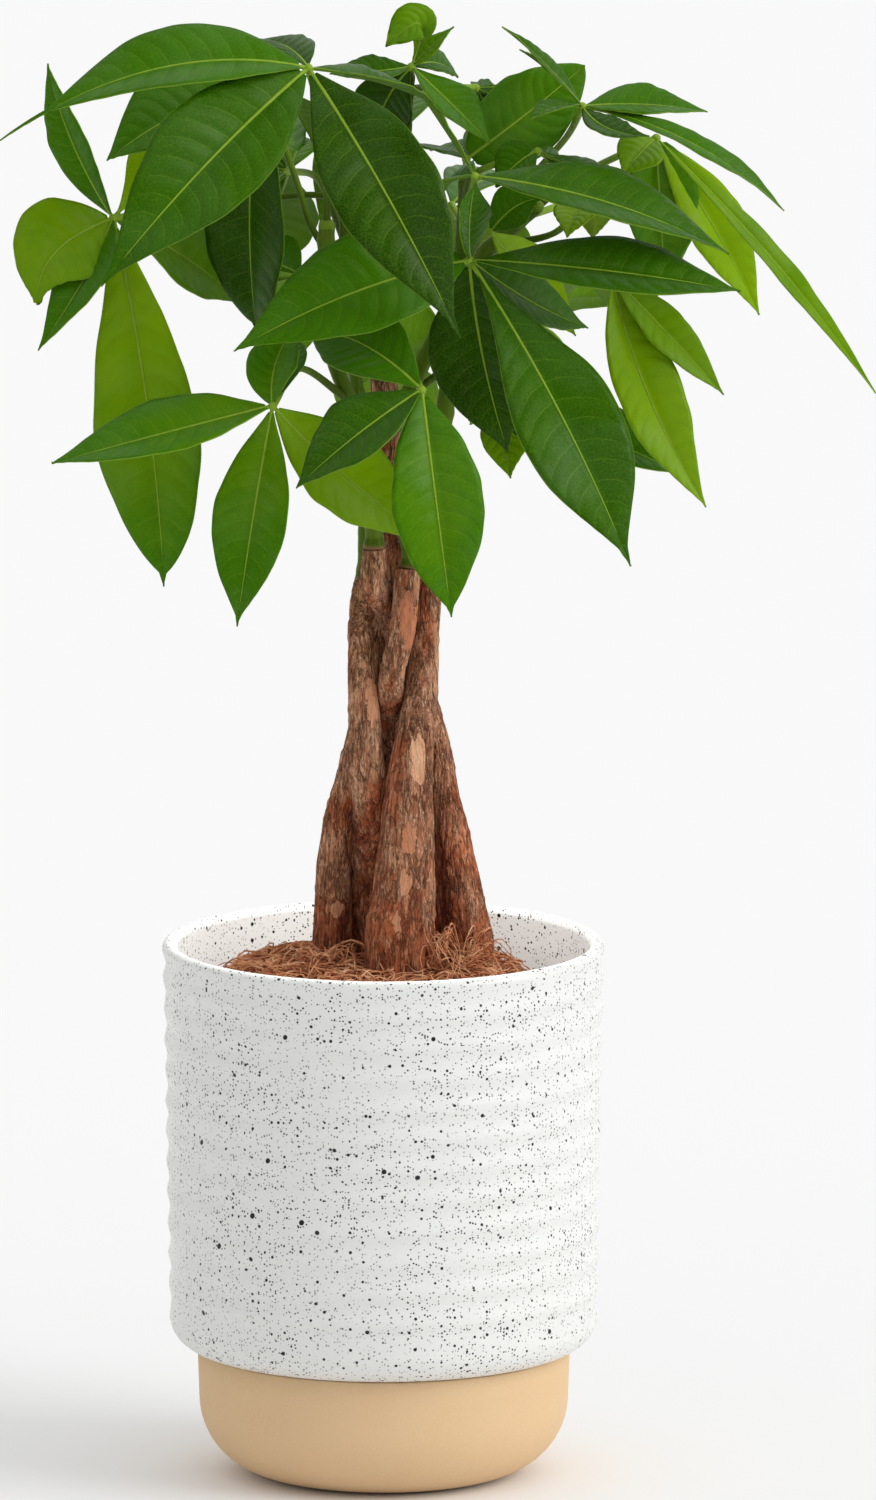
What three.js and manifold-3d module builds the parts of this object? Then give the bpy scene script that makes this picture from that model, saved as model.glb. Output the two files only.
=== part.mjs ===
// Potted money tree: five braided trunks with palmate leaves, in a ribbed two-tone pot.
// Millimetres, +Z up. The origin is the middle of the pot's flat foot, and the front faces -Y.
import * as THREE from "three";
import { mergeVertices } from "three/addons/utils/BufferGeometryUtils.js";
import Module from "manifold-3d";

const wasm = await Module();
wasm.setup();

// The pot
const POT_HEIGHT = 183;
const POT_RADIUS = 75; // outside, at the rim
const WALL = 5;
const BODY_BOTTOM = 43; // the step, where the white body meets the tan base
const BODY_BOTTOM_RADIUS = 72.8;
const BODY_CORNER = 11; // rounded lower edge of the white body
const RIBS = 11;
const FIRST_RIB = 65; // height of the lowest rib's crest
const RIB_PITCH = 10.55;
const RIB_DEPTH = 1.1;
const BASE_RADIUS = 63.3; // outside, at the step
const FOOT_RADIUS = 39;
const FOOT_CORNER = 26;
const FLOOR = 6;
const POT_SIDES = 32;
const GAP = 0.3; // left between pieces that touch

// The root ball
const SOIL_TOP = 173;
const SOIL_MOUND = 2.5;
const SOIL_RADIUS = 54;
const SOIL_FOOT_RADIUS = 33;
const SOIL_ACROSS = -3; // it stands a little left of the pot's middle

// The trunks and shoots
const TRUNK_FOOT = 143; // the trunks reach this deep into the root ball
const TRUNK_SIDES = 10;
const SHOOT_SIDES = 7;
const SHOOT_NECK = 7; // a shoot leaves its trunk straight for this length

// The leaves
const BLADE = 0.8; // thickness
const STALK_RADIUS = 1.15;
const STALK_SIDES = 5;
const HUB_RADIUS = 2.8;
const STATIONS = [0.008, 0.16, 0.42, 0.72, 1]; // along a leaflet's rib, from its hub to its tip
const FOLD = 16; // degrees that each half of a leaflet rises from its midrib

// Places in the plant are [across, up, back]: x, the height that a viewer sees who looks down by
// this angle, and y.
const LOOK_DOWN = THREE.MathUtils.degToRad(11);
const ACROSS = new THREE.Vector3(1, 0, 0);
const SEEN_UP = new THREE.Vector3(0, Math.sin(LOOK_DOWN), Math.cos(LOOK_DOWN));
const SEEN_BACK = new THREE.Vector3(0, Math.cos(LOOK_DOWN), -Math.sin(LOOK_DOWN));

// Each trunk as [x, y, z, radius] from its foot to its cut top.
const TRUNKS = {
  // front, from the upper right
  trunk_1: [
    [4.5, -9, TRUNK_FOOT, 12],
    [5.5, -9, 184, 11.9],
    [7, -8.5, 204, 10.6],
    [8.4, -8, 232, 8.4],
    [10, -7.2, 250, 7],
    [13.2, -1.2, 272, 5.5],
    [14.4, 2, 292, 4.9],
    [15.4, 5, 312, 4.6],
  ],
  // left at the top, behind the front trunk at its foot
  trunk_2: [
    [-4, 22, TRUNK_FOOT, 9.4],
    [-4.4, 21.5, 180, 9],
    [-4.4, 17.5, 200, 8],
    [-3.8, 6.2, 222, 5.9],
    [-5.2, -2.5, 240, 6.1],
    [-6.6, -4, 262, 5.2],
    [-7.6, -1.5, 284, 4.4],
    [-7.6, 4, 294, 4.2],
    [-6.3, 9.5, 304, 4.2],
  ],
  // upper left, right at its foot
  trunk_3: [
    [29, 7, TRUNK_FOOT, 9.8],
    [28.5, 6.5, 180, 9],
    [25.6, 6, 202, 7.2],
    [20.9, 6, 230, 5.6],
    [15.6, 8.5, 256, 5],
    [8.4, 9.4, 276, 4.9],
    [2.8, 4.4, 293, 4.6],
    [-2.8, -4, 306, 4.5],
    [-3.2, -5, 319, 4.2],
  ],
  // upper middle, behind the others at its foot
  trunk_4: [
    [24, 29, TRUNK_FOOT, 8.4],
    [20, 27, 184, 8],
    [14, 20, 216, 6.6],
    [4.6, 10.5, 242, 5.6],
    [2.2, 5, 259, 4.6],
    [3, -6.2, 276, 4.4],
    [6.4, -7, 292, 4.6],
    [8.2, -5, 312, 4.4],
  ],
  // left at its foot, behind the others at the top
  trunk_5: [
    [-18, 11, TRUNK_FOOT, 7.4],
    [-17.5, 11, 184, 6.6],
    [-16.3, 9, 214, 5.3],
    [-11.8, 8.4, 236, 5],
    [-7, 10, 256, 4.8],
    [-3, 14, 280, 4.7],
    [2, 15, 305, 4.6],
    [2, 14, 340, 4.4],
    [0, 13, 374, 4.2],
  ],
};

// Each shoot as [across, up, back, radius], from the trunk's top to its own tip.
const SHOOTS = {
  shoot_1: {
    trunk: "trunk_3",
    path: [
      [-6.5, 337, -9, 2.8],
      [-9.5, 356, -13, 2.7],
      [-16.5, 375, -17, 2.6],
      [-20, 396, -18, 2.5],
      [-19, 420, -16, 2.8],
    ],
  },
  shoot_2: {
    trunk: "trunk_4",
    path: [
      [1, 333, 0, 2.5],
      [-8, 362, 2, 2.3],
      [-12, 392, 2, 2],
      [-13, 428, 0, 2],
    ],
  },
  shoot_3: {
    trunk: "trunk_5",
    path: [
      [3, 392, 14, 3],
      [6, 430, 15, 2.4],
      [8, 460, 12, 2],
      [9, 471, 7, 1.7],
    ],
  },
  shoot_4: {
    trunk: "trunk_1",
    path: [
      [19, 345, 2, 3.2],
      [23, 376, 0, 2.9],
      [26, 405, 0, 2.6],
      [28, 436, 0, 2.4],
    ],
  },
  shoot_5: {
    trunk: "trunk_2",
    path: [
      [-4.4, 330, 22, 3.2],
      [4, 355, 38, 3],
      [18, 385, 48, 2.8],
      [34, 412, 46, 2.6],
      [52, 428, 36, 2.3],
    ],
  },
};

// Each leaf hangs on a shoot at a share of its length. Its stalk runs through the places given to
// the hub. A leaflet is [tip across, up, back, bow across, up, back, width, tilt, turn]. The bow is
// how far the middle of its rib stands off the straight line. Its face looks at the viewer when
// tilt and turn are 0. The tilt turns it up to the sky and the turn sideways, in degrees.
const LEAVES = [
  {
    name: "leaf_01", // front, high on the left
    shoot: "shoot_1",
    from: 0.985,
    stalk: [[-19, 434, -18], [-21, 456, -34]],
    hub: [-25, 472, -50],
    leaflets: [
      [-129, 447, -60, 0, 11.5, -7, 32, 49, 0],
      [-43, 482, -15, 1, 3, 0, 18, 74, 0],
      [-94, 398, -95, 0, 3.5, -8, 40, 16, 0],
      [26, 381, -85, 1, 2, -10, 38, 15, 0],
      [16.5, 461.5, -22, 2, 1.5, 0, 20, 70, 0],
    ],
  },
  {
    name: "leaf_02", // behind the first
    shoot: "shoot_2",
    from: 0.86,
    stalk: [[-24, 420, -2], [-29, 435, 2]],
    hub: [-41, 469, 4],
    leaflets: [
      [-64, 471, 22, 0, 3, 1, 22, 68, 0],
      [-93, 442, -22, -1, 3, -3, 33, 38, 0],
      [-43, 386, 8, -3, 1, -10, 32, 0, -30],
      [-22, 446, 64, 3, 3, 4, 28, 40, 0],
      [-40, 458, 80, -1, 2, 4, 26, 66, 0],
    ],
  },
  {
    name: "leaf_03", // far left
    shoot: "shoot_2",
    from: 0.97,
    stalk: [[-20, 431, 6], [-50, 429, 14]],
    hub: [-91, 423, -10],
    leaflets: [
      [-113, 475, -5, -3, 0, -2, 17, 0, -45],
      [-116, 393.5, -30, -7.5, 2.2, -4, 34, 12, 0],
      [-53, 470, 28, 0.5, 0.5, 3, 31, 20, 0],
      [-116, 378, -38, 3, 2, -4, 20, 30, -30],
      [-47, 395, 26, 1, 2, 2, 30, 30, 0],
      [-74, 299, -30, 3, 0, -14, 37, 0, -18],
    ],
  },
  {
    name: "leaf_04", // youngest, on top
    shoot: "shoot_3",
    from: 0.985,
    stalk: [[9.3, 472.8, 3.4]],
    hub: [9.5, 474, 0],
    leaflets: [
      [0.8, 480.5, -8, 7.1, 11, 0, 14, 20, 0],
      [23.8, 487.5, 0, -1.2, -0.5, 0, 7, 40, 0],
      [-18, 471.5, -6, 0, -0.5, -1, 14, 50, 0],
      [25, 471, 16, 1, 3, -1, 17, 40, 0],
      [36, 448, -14, 1, -0.5, -3, 20, 20, 45],
      [-3, 447, 20, -3, 1, 3, 22, 0, 0],
    ],
  },
  {
    name: "leaf_05", // small, behind the top
    shoot: "shoot_3",
    from: 0.9,
    stalk: [[16, 468, 22]],
    hub: [31, 468, 34],
    leaflets: [
      [47, 461, 52, 0, 0, 1, 18, 50, 0],
      [40, 447, 50, 1, 1, 2, 22, 20, 20],
      [37, 453, 72, -1, 1, 4, 16, 50, 0],
      [44, 464, 76, 1, 2, 2, 16, 74, 0],
    ],
  },
  {
    name: "leaf_06", // up to the right
    shoot: "shoot_4",
    from: 0.985,
    stalk: [[28, 437, -2]],
    hub: [28, 443, -6],
    leaflets: [
      [68, 475, 12, 1, 0, 1, 29, 0, 10],
      [51, 447, 46, 1, 4, 0, 24, 60, 0],
      [16, 447, 34, 0, 2, 0, 22, 60, 0],
    ],
  },
  {
    name: "leaf_07", // small, right of the middle
    shoot: "shoot_4",
    from: 0.95,
    stalk: [[31, 438, -14]],
    hub: [52, 445, -18],
    leaflets: [
      [81, 438, -24, 1, -1.5, -1, 12, 78, 0],
      [76, 441, 2, 0, -2.2, 0, 12, 83, 0],
      [38, 433, -20, 0, 2, -1, 18, 40, 0],
      [62, 429, 0, 1, 2, 1, 16, 40, 20],
    ],
  },
  {
    name: "leaf_08", // long, to the right
    shoot: "shoot_4",
    from: 0.9,
    stalk: [[29, 429, -20]],
    hub: [31, 436, -40],
    leaflets: [
      [116, 410, -48, 2, 4, -10, 33, 58, 0],
      [10.5, 468, 2, 0, 1, 1, 9, 0, 68],
      [14, 422, -8, -1, 5, -2, 22, 50, 0],
    ],
  },
  {
    name: "leaf_09", // front, right
    shoot: "shoot_4",
    from: 0.62,
    stalk: [[25, 403, -22]],
    hub: [29, 408, -45],
    leaflets: [
      [120, 397.5, -52, 0, 1.5, -10, 28, 46, 0],
      [83, 305, -82, 2.2, 2, -10, 37, 20, 10],
      [42, 344, -32, -2, 0, 2, 36, 0, -10],
      [31, 434, -50, -1, 0, -2, 20, 30, 45],
      [69, 386, -18, 0, -2, 0, 26, 40, 0],
      [-50, 377, -72, 0, 4, -6, 38, 26, 0],
    ],
  },
  {
    name: "leaf_10", // small, behind the front right
    shoot: "shoot_4",
    from: 0.74,
    stalk: [[30, 412, -12]],
    hub: [36, 418, -22],
    leaflets: [
      [53, 429, -24, 0, 3, -1, 16, 20, 0],
      [65, 384, 8, -1, 1, 5, 22, 20, 10],
    ],
  },
  {
    name: "leaf_11", // high on the right
    shoot: "shoot_5",
    from: 0.985,
    stalk: [[50, 437, 32], [62, 451, 8]],
    hub: [67, 460, -22],
    leaflets: [
      [40, 487, -12, 0, 2, -1, 9, 20, 64],
      [46, 480, 6, 0, 2, 0, 8, 20, 60],
      [109, 458.4, -18, 0, 1.5, -2, 20, 58, 0],
      [134.7, 424.8, -36, 3, 4.8, -9, 11, 62, 0],
      [89.3, 449.5, -46, -2.5, -2.5, -2, 11, 50, 0],
      [49, 455, -40, 0, 2, -1, 12, 70, 0],
    ],
  },
  {
    name: "leaf_12", // far right
    shoot: "shoot_5",
    from: 0.96,
    stalk: [[65, 438, 40]],
    hub: [92, 450, -4],
    leaflets: [
      [80.5, 437, -18, 0, 1, -1, 17, 30, 0],
      [95, 402, 0, 0, 0, 2, 27, 0, 15],
      [127, 391, 9, 2, 0, 2, 22, 0, 30],
      [166, 364, -20, 2.2, 1.8, -6, 10, 40, 20],
      [100, 408, 64, 2, 0, 5, 20, 72, 0],
    ],
  },
  {
    name: "leaf_13", // right, low
    shoot: "shoot_5",
    from: 0.8,
    stalk: [[60, 413, 30]],
    hub: [77, 404, 6],
    leaflets: [
      [109, 326, -8, -3.4, -1.5, -3, 24, 0, 20],
      [115, 364, 2, 0, 0.5, -2, 16, 0, 38],
      [83, 386, 62, 2, 4, 0, 24, 60, 0],
      [60, 397, 50, -1, 2, 0, 22, 50, 0],
    ],
  },
  {
    name: "leaf_14", // small and pale, right
    shoot: "shoot_5",
    from: 0.86,
    stalk: [[57, 419, 40]],
    hub: [67, 428, 22],
    leaflets: [
      [62, 417, 4, 0, 2, 1, 15, 50, 0],
      [71, 417, 44, 1, 3, -1, 15, 50, 0],
    ],
  },
  {
    name: "leaf_15", // behind the front right blades
    shoot: "shoot_5",
    from: 0.66,
    stalk: [[33, 380, 34]],
    hub: [44, 366, 14],
    leaflets: [
      [104, 337, 6, 1, -2, -2, 26, 50, 0],
      [43, 336, 8, -2, 0, 1, 18, 0, 0],
      [55, 343, -12, 1, 0, -1, 22, 20, 10],
      [29, 356, 40, -1, 2, 1, 22, 30, 0],
    ],
  },
  {
    name: "leaf_16", // front, low in the middle
    shoot: "shoot_3",
    from: 0.22,
    stalk: [[3, 381, -20], [6, 376, -50]],
    hub: [13, 364, -75],
    leaflets: [
      [-29, 331, -90, -1, 1, -6, 28, 38, -20],
      [23, 288, -86, 0, -1, -10, 32, 0, 10],
      [-26, 384, -40, -1, 6, 0, 28, 20, 0],
    ],
  },
  {
    name: "leaf_17", // front, low on the left
    shoot: "shoot_1",
    from: 0.55,
    stalk: [[-28, 372, -34]],
    hub: [-37, 359, -60],
    leaflets: [
      [-29, 386, -46, -3, 1, 1, 20, 0, -30],
      [-111, 339.5, -72, 0, 0.3, -4, 29, 50, 0],
      [-49, 285, -72, -0.5, 0, -2, 27, 0, -18],
      [16, 314, -48, -2, -1, 0, 30, 20, 0],
      [-31, 383, -2, 0, 4, 0, 17, 40, 0],
    ],
  },
  {
    name: "leaf_18", // back, left
    shoot: "shoot_2",
    from: 0.93,
    stalk: [[-22, 437, 35]],
    hub: [-32, 441, 62],
    leaflets: [
      [-79, 434, 100, -1, 4, 7, 30, 50, 0],
      [-60, 409, 118, -1, 3, 8, 30, 20, 0],
      [-42, 402, 116, -1, 2, 13, 30, 0, 180],
      [-24, 452, 100, 0, 4, 0, 16, 60, 0],
      [-50, 460, 118, 0, 4, 4, 28, 70, 0],
    ],
  },
  {
    name: "leaf_19", // back, high in the middle
    shoot: "shoot_3",
    from: 0.8,
    stalk: [[7, 441, 34]],
    hub: [4, 452, 58],
    leaflets: [
      [-24, 461, 98, -1, 6, 8, 28, 68, 0],
      [-22, 424, 128, -1, 6, 8, 30, 20, 180],
      [-5, 424, 132, 0, 6, 10, 26, 10, 180],
      [-11, 466, 104, 0, 4, 2, 22, 78, 0],
      [6, 464, 132, 1, 8, 1, 28, 80, 0],
    ],
  },
  {
    name: "leaf_20", // back, in the middle
    shoot: "shoot_5",
    from: 0.83,
    stalk: [[29, 420, 62]],
    hub: [23, 430, 88],
    leaflets: [
      [4, 397, 150, 0, 4, 13, 32, 10, 180],
      [29, 393, 158, 1, 3, 11, 32, 10, 180],
      [50, 396, 138, 0, 3, 9, 28, 30, 180],
      [48, 438, 142, 0, 6, 7, 28, 70, 0],
    ],
  },
  {
    name: "leaf_21", // back, right
    shoot: "shoot_5",
    from: 0.9,
    stalk: [[45, 424, 66]],
    hub: [60, 430, 86],
    leaflets: [
      [97, 424, 112, 2, 6, 7, 28, 50, 180],
      [84, 434, 138, 1, 4, 5, 24, 65, 0],
      [70, 440, 132, 0, 3, 3, 22, 70, 0],
    ],
  },
  {
    name: "leaf_22", // back, right and low
    shoot: "shoot_5",
    from: 0.55,
    stalk: [[33, 383, 60]],
    hub: [43, 390, 72],
    leaflets: [
      [48, 352, 104, 2, 5, 8, 30, 10, 180],
      [87, 397, 104, 0, 6, 10, 28, 50, 180],
      [35, 358, 112, -1, 2, 8, 30, 0, 180],
      [32, 376, 130, -1, 3, 4, 26, 30, 180],
    ],
  },
  {
    name: "leaf_23", // back, left and low
    shoot: "shoot_2",
    from: 0.62,
    stalk: [[-18, 393, 20]],
    hub: [-28, 405, 42],
    leaflets: [
      [-42, 384, 80, -2, 5, 7, 22, 20, 180],
      [-28, 379, 92, 0, 3, 9, 28, 0, 180],
      [-6, 389, 96, 0, 5, 9, 28, 20, 180],
      [-55, 409, 66, -1, 4, 4, 28, 60, 0],
    ],
  },
  {
    name: "leaf_24", // back, low in the middle
    shoot: "shoot_5",
    from: 0.35,
    stalk: [[4, 364, 62]],
    hub: [1, 376, 84],
    leaflets: [
      [-6, 350, 112, -2, 2, 7, 28, 10, 180],
      [10, 344, 122, 0, 2, 7, 30, 0, 180],
      [22, 384, 112, 0, 4, 7, 28, 20, 180],
      [-11, 390, 128, -1, 5, 4, 26, 50, 180],
    ],
  },
];

const place = ([across, up, back]) =>
  new THREE.Vector3(
    across,
    back,
    (up - back * Math.sin(LOOK_DOWN)) / Math.cos(LOOK_DOWN),
  );

const smoothPath = (points) =>
  new THREE.CatmullRomCurve3(points, false, "catmullrom", 0.5);

// A geometry as a solid: its shared corners are merged, and triangles that close up to a line
// are dropped.
function solidOf(geometry) {
  const bare = new THREE.BufferGeometry()
    .setAttribute("position", geometry.getAttribute("position"))
    .setIndex(geometry.index);
  const merged = mergeVertices(bare, 1e-3);
  const corners = merged.index.array;
  const kept = [];
  for (let i = 0; i < corners.length; i += 3) {
    const [a, b, c] = corners.slice(i, i + 3);
    if (a !== b && b !== c && c !== a) kept.push(a, b, c);
  }
  return new wasm.Manifold(
    new wasm.Mesh({
      numProp: 3,
      vertProperties: merged.attributes.position.array,
      triVerts: new Uint32Array(kept),
    }),
  );
}

function meshOf(name, solid, material) {
  const { vertProperties, triVerts } = solid.getMesh();
  const geometry = new THREE.BufferGeometry()
    .setAttribute("position", new THREE.BufferAttribute(vertProperties, 3))
    .setIndex(new THREE.BufferAttribute(triVerts, 1));
  const mesh = new THREE.Mesh(geometry, material);
  mesh.name = name;
  return mesh;
}

// A round stem along a path: a closed cylinder of unit size, bent, with a radius at each point.
function stem(points, radii, sides, steps) {
  const path = smoothPath(points);
  const chord = points.at(-1).clone().sub(points[0]).normalize();
  const aside = Math.abs(chord.x) < 0.7 ? ACROSS : SEEN_UP;
  const rod = new THREE.CylinderGeometry(1, 1, 1, sides, steps);
  const corners = rod.getAttribute("position");
  for (let i = 0; i < corners.count; i++) {
    const t = Math.round((corners.getY(i) + 0.5) * steps) / steps;
    const along = path.getTangent(t);
    const side = aside
      .clone()
      .addScaledVector(along, -aside.dot(along))
      .normalize();
    const other = side.clone().cross(along);
    const station = Math.min(t * (radii.length - 1), radii.length - 1 - 1e-9);
    const before = Math.floor(station);
    const radius = THREE.MathUtils.lerp(
      radii[before],
      radii[before + 1],
      station - before,
    );
    const corner = path
      .getPoint(t)
      .addScaledVector(side, corners.getX(i) * radius)
      .addScaledVector(other, corners.getZ(i) * radius);
    corners.setXYZ(i, corner.x, corner.y, corner.z);
  }
  return solidOf(rod);
}

// A body turned about the pot's axis from an outline of [radius, height].
function turned(outline, sides) {
  const points = outline.map(([r, z]) => new THREE.Vector2(r, z));
  return new THREE.LatheGeometry(points, sides).rotateX(Math.PI / 2);
}

const arc = (r, z, radius, from, to, steps) =>
  Array.from({ length: steps + 1 }, (_, i) => {
    const angle = THREE.MathUtils.degToRad(from + ((to - from) * i) / steps);
    return [r + radius * Math.cos(angle), z + radius * Math.sin(angle)];
  });

const bodyRadius = (z) =>
  THREE.MathUtils.mapLinear(
    z,
    BODY_BOTTOM,
    POT_HEIGHT,
    BODY_BOTTOM_RADIUS,
    POT_RADIUS,
  );

function potBody() {
  const ribs = [];
  for (let k = 0; k < RIBS; k++) {
    const crest = FIRST_RIB + k * RIB_PITCH;
    ribs.push([bodyRadius(crest) - 0.1, crest]);
    const hollow = crest + RIB_PITCH / 2;
    if (k < RIBS - 1) ribs.push([bodyRadius(hollow) - RIB_DEPTH, hollow]);
  }
  const lip = WALL / 2;
  const inside = BASE_RADIUS - WALL;
  const outline = [
    [inside, BODY_BOTTOM + GAP],
    ...arc(
      BODY_BOTTOM_RADIUS - BODY_CORNER,
      BODY_BOTTOM + GAP + BODY_CORNER,
      BODY_CORNER,
      -90,
      -8,
      4,
    ),
    [bodyRadius(FIRST_RIB) - RIB_DEPTH, FIRST_RIB - RIB_PITCH / 2],
    ...ribs,
    [POT_RADIUS - RIB_DEPTH, FIRST_RIB + (RIBS - 0.5) * RIB_PITCH],
    ...arc(POT_RADIUS - lip, POT_HEIGHT - lip, lip, 0, 180, 4),
    [POT_RADIUS - WALL - 2.5, BODY_BOTTOM + BODY_CORNER + 8],
    [inside, BODY_BOTTOM + 6],
    [inside, BODY_BOTTOM + GAP],
  ];
  return solidOf(turned(outline, POT_SIDES));
}

function potBase() {
  const inner = FOOT_CORNER - WALL;
  const middle = BASE_RADIUS - 0.6 - FOOT_CORNER;
  const outline = [
    [0, 0],
    [FOOT_RADIUS, 0],
    ...arc(middle, FOOT_CORNER, FOOT_CORNER, -86, 0, 5).slice(1),
    [BASE_RADIUS, BODY_BOTTOM],
    [BASE_RADIUS - WALL, BODY_BOTTOM],
    ...arc(middle, FLOOR + inner, inner, 0, -90, 4),
    [0, FLOOR],
  ];
  return solidOf(turned(outline, POT_SIDES));
}

const trunkStem = ([...stations], extra = 0) =>
  stem(
    stations.map(([x, y, z]) => new THREE.Vector3(x, y, z)),
    stations.map(([, , , radius]) => radius + extra),
    TRUNK_SIDES,
    2 * (stations.length - 1),
  );

// A shoot starts on its trunk's cut top, just clear of the wood and in line with it.
function shootPoints({ trunk, path }) {
  const [below, top] = TRUNKS[trunk]
    .slice(-2)
    .map(([x, y, z]) => new THREE.Vector3(x, y, z));
  const onward = top.clone().sub(below).normalize();
  const foot = top.clone().addScaledVector(onward, GAP);
  const neck = top.clone().addScaledVector(onward, SHOOT_NECK);
  return [foot, neck, ...path.map(place)];
}

function shootStem(shoot, extra = 0) {
  const radii = shoot.path.map(([, , , radius]) => radius + extra);
  const points = shootPoints(shoot);
  const [below, tip] = points.slice(-2);
  tip.addScaledVector(tip.clone().sub(below).normalize(), extra);
  return stem(
    points,
    [radii[0] + 0.4, radii[0], ...radii],
    SHOOT_SIDES,
    2 * shoot.path.length + 1,
  );
}

function rootBall() {
  const outline = [
    [0, FLOOR + GAP],
    [SOIL_FOOT_RADIUS, FLOOR + GAP],
    [SOIL_FOOT_RADIUS + 11, 26],
    [SOIL_RADIUS - 4, 70],
    [SOIL_RADIUS, SOIL_TOP - 12],
    [SOIL_RADIUS - 1, SOIL_TOP - 3],
    [SOIL_RADIUS - 6, SOIL_TOP],
    [SOIL_RADIUS / 2, SOIL_TOP + SOIL_MOUND],
    [0, SOIL_TOP + SOIL_MOUND],
  ];
  const plug = turned(outline, 28).translate(SOIL_ACROSS, 0, 0);
  return Object.values(TRUNKS).reduce(
    (soil, stations) => soil.subtract(trunkStem(stations, GAP)),
    solidOf(plug),
  );
}

// A leaflet's width along its rib, as a share of its widest: a wedge at the stalk and a
// drawn-out tip.
const fullness = (t) => Math.sin(Math.PI * t ** 0.95) ** 1.25;

// One leaflet: a thin blade, folded along its rib. Each station is a ring of six corners, three on
// each face, and both faces are split into triangles alike.
function blade(hub, row) {
  const [tipAcross, tipUp, tipBack, bowAcross, bowUp, bowBack] = row;
  const [wide, tilt, turn] = row.slice(6);
  const tip = place([tipAcross, tipUp, tipBack]);
  const knee = hub.clone().add(tip).multiplyScalar(0.5);
  knee.addScaledVector(place([bowAcross, bowUp, bowBack]), 2);
  const rib = new THREE.QuadraticBezierCurve3(hub, knee, tip);
  const up = THREE.MathUtils.degToRad(tilt);
  const round = THREE.MathUtils.degToRad(turn);
  const level = Math.cos(up);
  const face = ACROSS.clone()
    .multiplyScalar(level * Math.sin(round))
    .addScaledVector(SEEN_UP, Math.sin(up))
    .addScaledVector(SEEN_BACK, -level * Math.cos(round));
  const fold = THREE.MathUtils.degToRad(FOLD);
  const corners = [];
  const put = (v) => corners.push(v.x, v.y, v.z);
  for (const t of STATIONS) {
    const along = rib.getTangent(t);
    const out = face
      .clone()
      .addScaledVector(along, -face.dot(along))
      .normalize();
    const side = along.clone().cross(out);
    const half = t === 1 ? 0 : Math.max(0.9, (wide / 2) * fullness(t));
    const lift = half * Math.sin(fold);
    const spread = half * Math.cos(fold);
    const corner = (s, thick) =>
      rib
        .getPoint(t)
        .addScaledVector(side, s * spread)
        .addScaledVector(out, Math.abs(s) * lift + (thick * BLADE) / 2);
    for (const s of [-1, 0, 1]) put(corner(s, 1));
    for (const s of [1, 0, -1]) put(corner(s, -1));
  }
  const faces = [];
  const quad = (a, b, c, d, turnedOver) =>
    turnedOver
      ? faces.push(a, b, d, b, c, d)
      : faces.push(a, b, c, a, c, d);
  for (let i = 0; i + 1 < STATIONS.length; i++)
    for (let k = 0; k < 6; k++) {
      const next = (k + 1) % 6;
      quad(
        6 * i + k,
        6 * i + next,
        6 * i + 6 + next,
        6 * i + 6 + k,
        k === 1 || k === 4,
      );
    }
  quad(0, 5, 4, 1, false);
  quad(1, 4, 3, 2, false);
  const geometry = new THREE.BufferGeometry();
  geometry.setAttribute(
    "position",
    new THREE.Float32BufferAttribute(corners, 3),
  );
  geometry.setIndex(faces);
  return solidOf(geometry);
}

// One leaf: its stalk, its hub and its leaflets, grown as one, and cut clear of the shoot that it
// hangs on.
function leaf({ shoot, from, stalk, hub, leaflets }) {
  const middle = place(hub);
  const points = [
    smoothPath(shootPoints(SHOOTS[shoot])).getPoint(from),
    ...stalk.map(place),
    middle,
  ];
  const ball = new THREE.OctahedronGeometry(HUB_RADIUS, 0).translate(
    ...middle.toArray(),
  );
  const parts = [
    stem(
      points,
      points.map(() => STALK_RADIUS),
      STALK_SIDES,
      2 * (points.length - 1),
    ),
    ...leaflets.map((row) => blade(middle, row)),
  ];
  return parts
    .reduce((grown, part) => grown.add(part), solidOf(ball))
    .subtract(shootStem(SHOOTS[shoot], GAP))
    .decompose()
    .reduce((most, scrap) => (scrap.volume() > most.volume() ? scrap : most));
}

const finish = (color, roughness) =>
  new THREE.MeshStandardMaterial({ color, roughness, metalness: 0 });
const whiteGlaze = finish(0xe8e9e7, 0.35);
const tanClay = finish(0xdebd92, 0.7);
const coir = finish(0x96552f, 0.95);
const bark = finish(0x8c5f46, 0.85);
const greenStem = finish(0x5c7a24, 0.55);
const leafGreen = finish(0x3f7d0c, 0.4);

const tree = new THREE.Group();
tree.add(meshOf("pot_body", potBody(), whiteGlaze));
tree.add(meshOf("pot_base", potBase(), tanClay));
tree.add(meshOf("root_ball", rootBall(), coir));
for (const [name, stations] of Object.entries(TRUNKS))
  tree.add(meshOf(name, trunkStem(stations), bark));
for (const [name, shoot] of Object.entries(SHOOTS))
  tree.add(meshOf(name, shootStem(shoot), greenStem));
for (const entry of LEAVES) tree.add(meshOf(entry.name, leaf(entry), leafGreen));

export default tree;
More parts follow.
